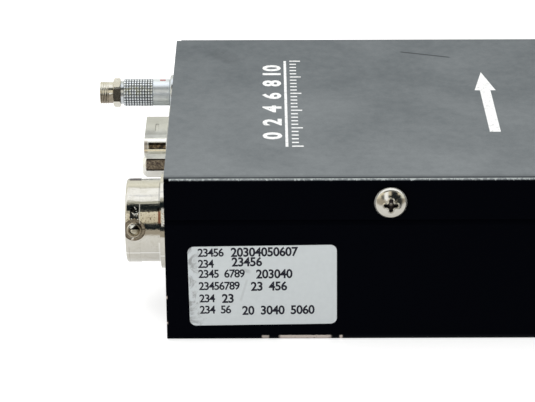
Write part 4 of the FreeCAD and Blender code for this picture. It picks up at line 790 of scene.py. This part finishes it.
def sleeve_finish():
    """Satin chrome of the sleeve: its pads painted lighter as a painted highlight, painted shade in the
    grooves between them, and yellow grease on their upper side.
    """
    looks = ((0.76, 0.81, 0.84), (0.67, 0.72, 0.75), 0.32, 0.10, (9000, 700, 700), 0.1)
    shader, roughness, relief = plated("sleeve_chrome", *looks)
    along, across, up = around(shader, "plug_sleeve")
    radius = shader.length(across, up)
    knurl = shader.fall(along, -4.15, -4.0)
    groove = knurl * shader.fall(radius, KNURL_TOP - 0.15, KNURL_TOP - 0.03)
    grime = shader.noise(900.0, 4.0, 0.65)
    grease = knurl * shader.window(up, 0.7, 2.9, 0.4) * shader.smooth(grime, 0.45, 0.62)
    # Pads lighter as a painted highlight, grooves darker as painted shade.
    pad = knurl * (1 - groove)
    shader.coat(pad * 0.60, (0.93, 0.97, 1.00))
    shader.coat(groove * 0.90, (0.045, 0.058, 0.075))
    shader.coat(grease * 0.50, (0.50, 0.48, 0.24))
    scuffs = shader.smooth(shader.noise(700.0, 5.0, 0.8), 0.55, 0.70) * (1 - knurl)
    shader.coat(scuffs * 0.25, (0.36, 0.38, 0.40))
    finished(shader, 0.80 - 0.25 * pad, roughness, relief)


def screw_finish():
    """Bright nickel of the cover screws, with painted shade in the cross recess and a painted highlight on
    the head's rim.
    """
    shader, roughness, relief = plated("screw_nickel", *BARREL_NICKEL)
    low, high = size_of("cover_screws")
    outwards, across, up = around(shader, "cover_screws", "Y")
    proud = shader.math("ABSOLUTE", outwards) - (high[1] - low[1]) / 2 + HEAD_SEEN
    radius = shader.length(across, up)
    sunk = HEAD_HEIGHT - radius * radius / (radius + HEAD_CROWN) * HEAD_SLOPE - proud
    # Painted shade in the cross recess.
    recess = shader.smooth(sunk, 0.14, 0.42) * shader.fall(radius, 1.64, 1.74)
    recess = recess * (0.55 + 0.45 * shader.smooth(radius, 0.15, 0.45))
    # A painted highlight on the head's rim.
    rim = shader.smooth(radius, 3.10, 3.34) * shader.smooth(proud, 0.35, 0.75) * 0.42
    shader.coat(recess * 0.97, (0.020, 0.016, 0.018))
    shader.coat(rim, (0.80, 0.80, 0.76))
    finished(shader, 1 - rim, roughness + 0.07 + 0.3 * recess, relief)


def moulded_finish(name, light, dark, rough, scale):
    """Moulded or coated material: a fine grain and slight unevenness."""
    shader = finish_of(name)
    grain = shader.noise(scale, 3.0, 0.55)
    cloud = shader.noise(120.0, 3.0, 0.5)
    shader.colour = shader.mix(cloud, light, dark)
    finished(shader, 0.0, rough + 0.1 * grain, shader.bump(grain, 0.01, 0.6))


def make_finishes():
    """Every finish of the meter."""
    paint_finish()
    ink_finish("white_ink", (0.84, 0.85, 0.85), (0.50, 0.51, 0.51))
    ink_finish("label_ink", (0.004, 0.004, 0.012), (0.02, 0.02, 0.04))
    label_finish()
    plated_finish("bright_nickel", *BARREL_NICKEL)
    stud_finish()
    barrel_finish()
    shell_finish()
    hexagon_finish()
    collet_finish()
    sleeve_finish()
    screw_finish()
    finished(finish_of("red_dot", (0.42, 0.02, 0.03)), 0.0, 0.4)
    plated_finish("satin_chrome", (0.66, 0.69, 0.71), (0.54, 0.57, 0.58), 0.20, 0.12, (9000, 700, 700), 0.1)
    plated_finish("stainless_steel", (0.60, 0.59, 0.57), (0.50, 0.49, 0.47), 0.26, 0.12, (6000, 500, 6000))
    plated_finish("zinc_steel", (0.66, 0.66, 0.64), (0.52, 0.52, 0.49), 0.28, 0.14, (3000, 3000, 3000))
    plated_finish("contact_gold", (0.90, 0.68, 0.28), (0.78, 0.55, 0.20), 0.14, 0.10, (3000, 9000, 9000))
    plated_finish("sensor_can", (0.74, 0.75, 0.76), (0.62, 0.63, 0.64), 0.34, 0.10, (900, 6000, 6000))
    moulded_finish("insert_moulding", (0.028, 0.028, 0.030), (0.05, 0.05, 0.052), 0.45, 3000.0)
    moulded_finish("seal_rubber", (0.02, 0.02, 0.02), (0.035, 0.034, 0.033), 0.65, 2500.0)
    moulded_finish("coil_winding", (0.36, 0.14, 0.04), (0.50, 0.22, 0.07), 0.35, 6000.0)
    moulded_finish("board_laminate", (0.012, 0.13, 0.05), (0.02, 0.18, 0.07), 0.30, 1800.0)
    moulded_finish("component_black", (0.02, 0.02, 0.022), (0.04, 0.04, 0.042), 0.45, 2200.0)


def finish_cad_pieces():
    """Gives every CAD piece the finish that its slot names."""
    for node, piece in frame["nodes"].items():
        piece.data.materials.clear()
        piece.data.materials.append(FINISHES[SLOTS[node]])


# Cover screws

HEAD_HEIGHT = 2.52
HEAD_SEEN = 1.95
HEAD_ROUND = 0.50
HEAD_RADIUS = 3.44
HEAD_SLOPE = 0.28
HEAD_CROWN = 0.25
HEAD_FALL = 0.0026
RECESS_REACH = 1.54
RECESS_HALF_WIDTH = 0.42
RECESS_DEPTH = 1.1
RECESS_LIP = 0.12
CONE_RADIUS = 2.90
SCREW_SHANK = 1.75
SCREW_GRIP = 4.4
SCREW_TIP = 0.02
TIP_CHAMFER = 0.2
SEAT_CHAMFER = 0.08
SCREW_COLUMNS = 192


def screw_height(radius, angle):
    """Height of the head over its seat: a blunt cone with a round crown and rim, less a cross recess.

    The cone falls by HEAD_SLOPE times r squared over r plus HEAD_CROWN, and by HEAD_FALL times
    r to the fourth power. The recess is where a point lies within two crossed strokes with round
    ends; it deepens to its middle and has a raised lip."""
    x = radius * np.cos(angle)
    z = radius * np.sin(angle)
    dome = HEAD_HEIGHT - HEAD_SLOPE * radius**2 / (radius + HEAD_CROWN) - HEAD_FALL * radius**4
    edge_share = np.clip((radius - (HEAD_RADIUS - HEAD_ROUND)) / HEAD_ROUND, 0, 1)
    rim_drop = HEAD_ROUND * (1 - np.sqrt(1 - edge_share**2))
    reach = RECESS_REACH - RECESS_HALF_WIDTH
    flat_arm = np.hypot(np.maximum(np.abs(x) - reach, 0), z)
    tall_arm = np.hypot(np.maximum(np.abs(z) - reach, 0), x)
    web = np.hypot(np.maximum(np.abs(x) - 0.4, 0), np.maximum(np.abs(z) - 0.4, 0)) + 0.16
    edge = np.minimum(np.minimum(flat_arm, tall_arm), web) - RECESS_HALF_WIDTH
    inside = np.clip(-edge / 0.10, 0, 1)
    depth = RECESS_DEPTH * (1 - 0.5 * radius / RECESS_REACH)
    lip = RECESS_LIP * np.exp(-(((edge - 0.12) / 0.10) ** 2))
    return dome - rim_drop + lip - depth * inside * inside * (3 - 2 * inside)


def screw_shell(side):
    """One pan-head screw as rings from its tip over the shank and head to the head's middle."""
    middle = middle_of("cover_screws")
    wall = (cover_low if side < 0 else cover_high).y / MM
    shank = np.array([
        (-SCREW_GRIP, SCREW_TIP), (-SCREW_GRIP, SCREW_SHANK - TIP_CHAMFER),
        (TIP_CHAMFER - SCREW_GRIP, SCREW_SHANK), (0.0, SCREW_SHANK),
        (0.0, HEAD_RADIUS - SEAT_CHAMFER), (SEAT_CHAMFER, HEAD_RADIUS),
    ])
    rim = HEAD_RADIUS - HEAD_ROUND * (1 - np.cos(np.linspace(0, math.pi / 2, 12)))
    head = np.concatenate([rim, np.linspace(CONE_RADIUS, 0.0, 90)])[:, None]
    angle = np.arange(SCREW_COLUMNS) * 2 * np.pi / SCREW_COLUMNS
    radius = np.concatenate([shank[:, 1:], head])
    height = np.concatenate([np.repeat(shank[:, :1], SCREW_COLUMNS, 1), screw_height(head, angle)])
    x = middle[0] + radius * np.cos(angle)
    z = middle[2] + radius * np.sin(angle)
    points = np.stack([x, wall + side * height, z], -1).reshape(-1, 3)
    return points, grid_faces(len(radius), SCREW_COLUMNS)


# Bayonet studs of the round receptacle

STUD_ROOT = 7.6
STUD_SHANK = 1.2
STUD_WALL = 0.32
STUD_ROUND = 0.18
RIVET_RADIUS = 0.98
RIVET_TOP = 0.58
RIVET_DROP = 0.40
STUD_COLUMNS = 64


def stud_shell(angle):
    """One stud: a shank, a head with a round edge, a groove and a domed rivet end in its middle.

    The rivet end lies below its top by RIVET_DROP times the sixth power of its share of the radius."""
    centre = middle_of("power_gasket")
    centre[0] = size_of("power_gasket")[1][0] + STUD_X
    turn = np.linspace(0, math.pi / 2, 8)
    edge_along = SPOT_HEIGHT + STUD_WALL + STUD_ROUND * np.sin(turn)
    edge_radius = STUD_RADIUS - STUD_ROUND + STUD_ROUND * np.cos(turn)
    groove_along = [SPOT_HEIGHT + depth for depth in (0.50, 0.26, 0.18)]
    dome_radius = RIVET_RADIUS * np.linspace(0.0, 1.0, 20)[::-1] ** 0.6
    dome_along = SPOT_HEIGHT + RIVET_TOP - RIVET_DROP * (dome_radius / RIVET_RADIUS) ** 6
    shank_along = [STUD_ROOT, STUD_ROOT, SPOT_HEIGHT, SPOT_HEIGHT]
    along = np.concatenate([shank_along, edge_along, groove_along, dome_along])
    radius = np.concatenate([
        [0.0, STUD_SHANK, STUD_SHANK, STUD_RADIUS], edge_radius, [1.22, 1.14, RIVET_RADIUS], dome_radius])
    around_axis = np.arange(STUD_COLUMNS) * 2 * np.pi / STUD_COLUMNS
    out = np.array([0.0, -math.cos(math.radians(angle)), math.sin(math.radians(angle))])
    side = np.array([0.0, out[2], -out[1]])
    ring = np.cos(around_axis)[:, None] * np.array([1.0, 0, 0]) + np.sin(around_axis)[:, None] * side
    points = centre + along[:, None, None] * out + radius[:, None, None] * ring
    return points.reshape(-1, 3), grid_faces(len(along), STUD_COLUMNS)


# Release sleeve of the push-pull plug

KNURL_ROWS = 28
KNURL_RINGS = 11
KNURL_DEPTH = 0.24
KNURL_TOP = 3.3
KNURL_STEPS = 8
PAD_SHARE_ROUND = 0.60
PAD_SHARE_ALONG = 0.56
SLEEVE_FRONT = 3.15
SLEEVE_FRONT_LENGTH = 4.0
SLEEVE_BORE = 2.75
MARK_RADIUS = 3.17
MARK_ANGLES = (85, 96)


def knurl_pad(phase, flat):
    """1 on a pad's flat and 0 in the middle of a groove, with straight sides between them.

    Phase runs from 0 to 1 over one pad and its groove."""
    from_middle = np.abs(phase - 0.5) * 2
    return np.clip((1 - from_middle) / (1 - flat), 0, 1)


def make_release_sleeve():
    """The sleeve: a smooth front, then a square knurl of KNURL_ROWS by KNURL_RINGS pads, over its bore.

    In the knurl the radius is the groove's plus KNURL_DEPTH times the lower of the two pad heights,
    round the axis and along it."""
    low, high = size_of("plug_sleeve")
    centre = middle_of("plug_sleeve") * (0, 1, 1)
    shoulder = high[0] - SLEEVE_FRONT_LENGTH
    groove = KNURL_TOP - KNURL_DEPTH
    columns = KNURL_ROWS * KNURL_STEPS
    across = knurl_pad(np.arange(columns) / KNURL_STEPS % 1.0, PAD_SHARE_ROUND)
    steps = np.arange(KNURL_RINGS * KNURL_STEPS + 1) / KNURL_STEPS
    along = knurl_pad(steps % 1.0, PAD_SHARE_ALONG)
    knurl = groove + KNURL_DEPTH * np.minimum(along[:, None], across[None, :])
    knurl_x = shoulder - steps * (shoulder - low[0]) / KNURL_RINGS
    lead_x, lead = turned_rows([
        (high[0] - 0.08, SLEEVE_BORE), (high[0], SLEEVE_BORE + 0.08), (high[0], SLEEVE_FRONT - 0.12),
        (high[0] - 0.12, SLEEVE_FRONT), (shoulder + 0.10, SLEEVE_FRONT), (shoulder, SLEEVE_FRONT - 0.10),
    ], columns)
    tail_x, tail = turned_rows([
        (low[0], groove), (low[0], SLEEVE_BORE + 0.08), (low[0] + 0.08, SLEEVE_BORE),
    ], columns)
    x = np.concatenate([lead_x, knurl_x, tail_x])
    shell = turned_shell(x, np.concatenate([lead, knurl, tail]), centre, "X")
    new_skin("plug_sleeve", [shell], "sleeve_chrome", 35.0, SLEEVE)


def make_red_mark():
    """The red alignment mark on the sleeve's smooth front: a patch of a cylinder a little larger."""
    front = size_of("plug_sleeve")[1][0]
    centre = middle_of("plug_sleeve")[1:]
    x = np.linspace(front - 2.35, front - 1.0, 6)[:, None]
    angle = np.radians(np.linspace(*MARK_ANGLES, 12))
    y = centre[0] - MARK_RADIUS * np.cos(angle)
    z = centre[1] + MARK_RADIUS * np.sin(angle)
    points = np.stack(np.broadcast_arrays(x, y, z), -1).reshape(-1, 3)
    faces = grid_faces(len(x), len(angle), wrap_columns=False)
    piece_from("sleeve_mark", [(points, faces)], "red_dot", SLEEVE)


# Gas glands

THREAD_PITCH = 1.41
THREAD_DEPTH = 0.62
THREAD_RADIUS = 7.14
THREAD_LENGTH = 12.6
THREAD_FADE = 0.8
THREAD_ROOT = 6.35
THREAD_SLOPE = 2.6
THREAD_FLAT = 0.15
THREAD_ROWS = 100
GLAND_COLUMNS = 128
GLAND_SHANK = 7.05
GLAND_SHANK_LENGTH = 11.5
GLAND_NECK = 6.2
GLAND_BORE = 2.3
BEAD_CIRCLE = 4.6
BEAD_RADIUS = 0.9
COLLAR_COLUMNS = 96
COLLAR_FLAT = 19.05 / 2
COLLAR_LENGTH = 6.0
COLLAR_BORE = 5.0


def thread_radius(along):
    """Radius of the gland's thread: it falls by THREAD_DEPTH and rises once each pitch along the axis,
    a turn round the axis shifts it by one pitch, and at both ends it fades to THREAD_ROOT."""
    turn = np.arange(GLAND_COLUMNS)[None, :] / GLAND_COLUMNS
    phase = (along[:, None] / THREAD_PITCH + turn) % 1.0
    ridge = np.clip(THREAD_SLOPE * np.abs(phase - 0.5) - THREAD_FLAT, 0, 1)
    radius = THREAD_RADIUS - THREAD_DEPTH * (1 - ridge)
    fade = np.clip(np.minimum(along - along[0], along[-1] - along) / THREAD_FADE, 0, 1)[:, None]
    return THREAD_ROOT + (radius - THREAD_ROOT) * fade


def make_gland(side, node):
    """A gland: shank, hexagon collar, neck, outer thread and a sealing bead, half a circle turned."""
    end_corner = int(side > 0)
    face = size_of("flow_body")[end_corner][1]
    centre = middle_of(node) * (1, 0, 1)
    end = abs(size_of(node)[end_corner][1] - face) - BEAD_RADIUS
    start = end - THREAD_LENGTH
    thread = np.linspace(start + 0.5, end - 0.5, THREAD_ROWS)
    bead = np.linspace(np.pi, 0, 17)
    bead_profile = np.stack([end + BEAD_RADIUS * np.sin(bead), BEAD_CIRCLE - BEAD_RADIUS * np.cos(bead)], -1)
    lead_along, lead = turned_rows([
        (-GLAND_SHANK_LENGTH, GLAND_BORE), (-GLAND_SHANK_LENGTH, GLAND_SHANK - 0.35),
        (0.4 - GLAND_SHANK_LENGTH, GLAND_SHANK), (2.0, GLAND_SHANK), (2.0, GLAND_NECK), (start, GLAND_NECK),
    ], GLAND_COLUMNS)
    tail_along, tail = turned_rows([
        (end - 0.2, GLAND_NECK), (end, GLAND_NECK - 0.2), *bead_profile,
        (end, GLAND_BORE + 0.3), (end - 0.3, GLAND_BORE),
    ], GLAND_COLUMNS)
    along = np.concatenate([lead_along, thread, tail_along])
    radius = np.concatenate([lead, thread_radius(thread), tail])
    turned = turned_shell(side * along + face, radius, centre, "Y")
    new_skin(node, [turned, collar_shell(side, face, centre)], "stainless_steel", 38.0)


def collar_shell(side, face, centre):
    """The hexagon collar: radius of a hexagon, limited by the cones that turn its corners off."""
    angle = np.arange(COLLAR_COLUMNS) * 2 * np.pi / COLLAR_COLUMNS
    from_flat = (angle + np.pi / 6) % (np.pi / 3) - np.pi / 6
    hexagon = COLLAR_FLAT / np.cos(from_flat)
    along = np.array([0.0, 0.0, 0.35, 0.9, 5.1, 5.65, COLLAR_LENGTH, COLLAR_LENGTH])
    cone = COLLAR_FLAT + np.array([-0.25, 0.2, np.inf, np.inf, 0.2, -0.25])
    inner = np.full((1, COLLAR_COLUMNS), COLLAR_BORE)
    radius = np.concatenate([inner, np.minimum(hexagon[None, :], cone[:, None]), inner])
    return turned_shell(side * along + face, radius, centre, "Y")


# Print

FIGURE_SHARE = 0.7


def text_shell(words, height, place, across, up, bold):
    """Plain figures as a flat mesh: place is the middle of their foot, across and up their directions."""
    curve = bpy.data.curves.new("figures", "FONT")
    curve.body = words
    curve.size = height / FIGURE_SHARE
    curve.align_x = "CENTER"
    curve.resolution_u = 3
    curve.offset = bold
    holder = bpy.data.objects.new("figures", curve)
    mesh = bpy.data.meshes.new_from_object(holder)
    points = [place + point.co.x * across + point.co.y * up for point in mesh.vertices]
    faces = [list(face.vertices) for face in mesh.polygons]
    bpy.data.objects.remove(holder)
    bpy.data.curves.remove(curve)
    bpy.data.meshes.remove(mesh)
    return points, faces


def bar_shell(start, length, width, across, up):
    """A flat printed bar: a rectangle from its start along one direction, as wide as the other says."""
    corners = [start, start + across * length, start + across * length + up * width, start + up * width]
    return corners, [[0, 1, 2, 3]]


def case_point(x, y, z):
    """A place on the case in millimetres of the frame, as an array."""
    return np.array(case(x, y, z)) / MM


PRINT_PROUD = 0.012
SCALE_START = 16.8
SCALE_END = 65.6
SCALE_LINE_X = 25.9
SCALE_STEPS = 25
FIGURES_START = 22.6
FIGURES_STEP = 7.36
FIGURES_X = 24.7
FIGURE_HEIGHT = 3.9
FIGURE_STRETCH = 1.30
FIGURE_BOLD = 0.20
SCALE_LINE_WIDTH = 0.6
LONG_TICK = 2.5
SHORT_TICK = 1.5
TICK_WIDTH = 0.62
ARROW_START = (72.6, 24.4)
ARROW_LENGTH = 23.2
ARROW_WIDTH = 2.4
ARROW_HEAD = ((73.8, 47.6), (71.4, 58.4), (69.0, 47.6))


def make_top_print():
    """The white print on the broad face: a plain flow scale and a flow arrow, read from the right."""
    right, across, _ = np.eye(3)
    up = -right
    length = SCALE_END - SCALE_START
    line = case_point(SCALE_LINE_X + 0.3, SCALE_START, PRINT_PROUD)
    shells = [bar_shell(line, length, SCALE_LINE_WIDTH, across, up)]
    for step in range(SCALE_STEPS + 1):
        tick = LONG_TICK if step % 5 == 0 else SHORT_TICK
        y = SCALE_START + (length - 0.4) * step / SCALE_STEPS
        place = case_point(SCALE_LINE_X + 1.1, y, PRINT_PROUD)
        shells.append(bar_shell(place, tick, TICK_WIDTH, right, across))
    for step in range(6):
        place = case_point(FIGURES_X, FIGURES_START + FIGURES_STEP * step, PRINT_PROUD)
        run = across * FIGURE_STRETCH
        shells.append(text_shell(str(step * 2), FIGURE_HEIGHT, place, run, up, FIGURE_BOLD))
    piece_from("top_scale", shells, "white_ink", facing=(0, 0, 1))
    shells = [bar_shell(case_point(*ARROW_START, PRINT_PROUD), ARROW_LENGTH, ARROW_WIDTH, across, up)]
    shells.append(([case_point(*corner, PRINT_PROUD) for corner in ARROW_HEAD], [[0, 1, 2]]))
    piece_from("top_arrow", shells, "white_ink", facing=(0, 0, 1))


# Rows of figures on the label: (start, drop, figures), from the label's upper, left corner

LABEL_SMALL = (
    (2.0, 2.30, "23456"), (2.0, 4.95, "234"), (2.0, 7.35, "2345"), (7.45, 7.35, "6789"),
    (2.0, 10.27, "23456789"), (2.05, 13.25, "234"), (2.05, 16.0, "234"), (6.5, 16.0, "56"),
)
LABEL_LARGE = (
    (8.95, 2.40, "20304050607"), (9.1, 4.70, "23456"), (14.2, 7.66, "203040"), (13.05, 10.60, "23 456"),
    (6.85, 13.42, "23"), (11.1, 16.40, "20"), (15.0, 16.40, "3040"), (21.4, 16.40, "5060"),
)
LABEL_TURN = 0.74
LABEL_ROWS = ((LABEL_SMALL, 1.88, 1.08, 0.054), (LABEL_LARGE, 2.06, 1.28, 0.080))
FIGURE_NARROW = 0.92


def make_label_print():
    """Plain rows of figures on the label, small ones on the left and larger ones beside them."""
    low, high = size_of("rating_label")
    turn = math.radians(LABEL_TURN)
    across = np.array((math.cos(turn), 0.0, math.sin(turn)))
    up = np.array((-math.sin(turn), 0.0, math.cos(turn)))
    corner = np.array([low[0] + 0.24, low[1] - PRINT_PROUD, high[2] - 0.40])
    shells = []
    for rows, height, pitch, bold in LABEL_ROWS:
        for start, drop, figures in rows:
            for index, figure in enumerate(figures):
                place = corner + across * (start + (index + 0.45) * pitch) - up * drop
                if figure != " ":
                    shells.append(text_shell(figure, height, place, across * FIGURE_NARROW, up, bold))
    piece_from("label_print", shells, "label_ink", facing=(0, -1, 0))


bpy.context.scene.view_settings.view_transform = "Standard"
make_camera()
make_world()
make_lights()
make_finishes()
make_floor()
finish_cad_pieces()
for node, edge_radius in EDGE_RADII.items():
    dressed(node, edge_radius)
new_skin("cover_screws", [screw_shell(-1), screw_shell(1)], "screw_nickel", 50.0)
new_skin("power_studs", [stud_shell(angle) for angle in STUD_ANGLES], "stud_nickel", 50.0)
make_release_sleeve()
make_red_mark()
make_gland(-1, "inlet_gland")
make_gland(1, "outlet_gland")
make_top_print()
make_label_print()
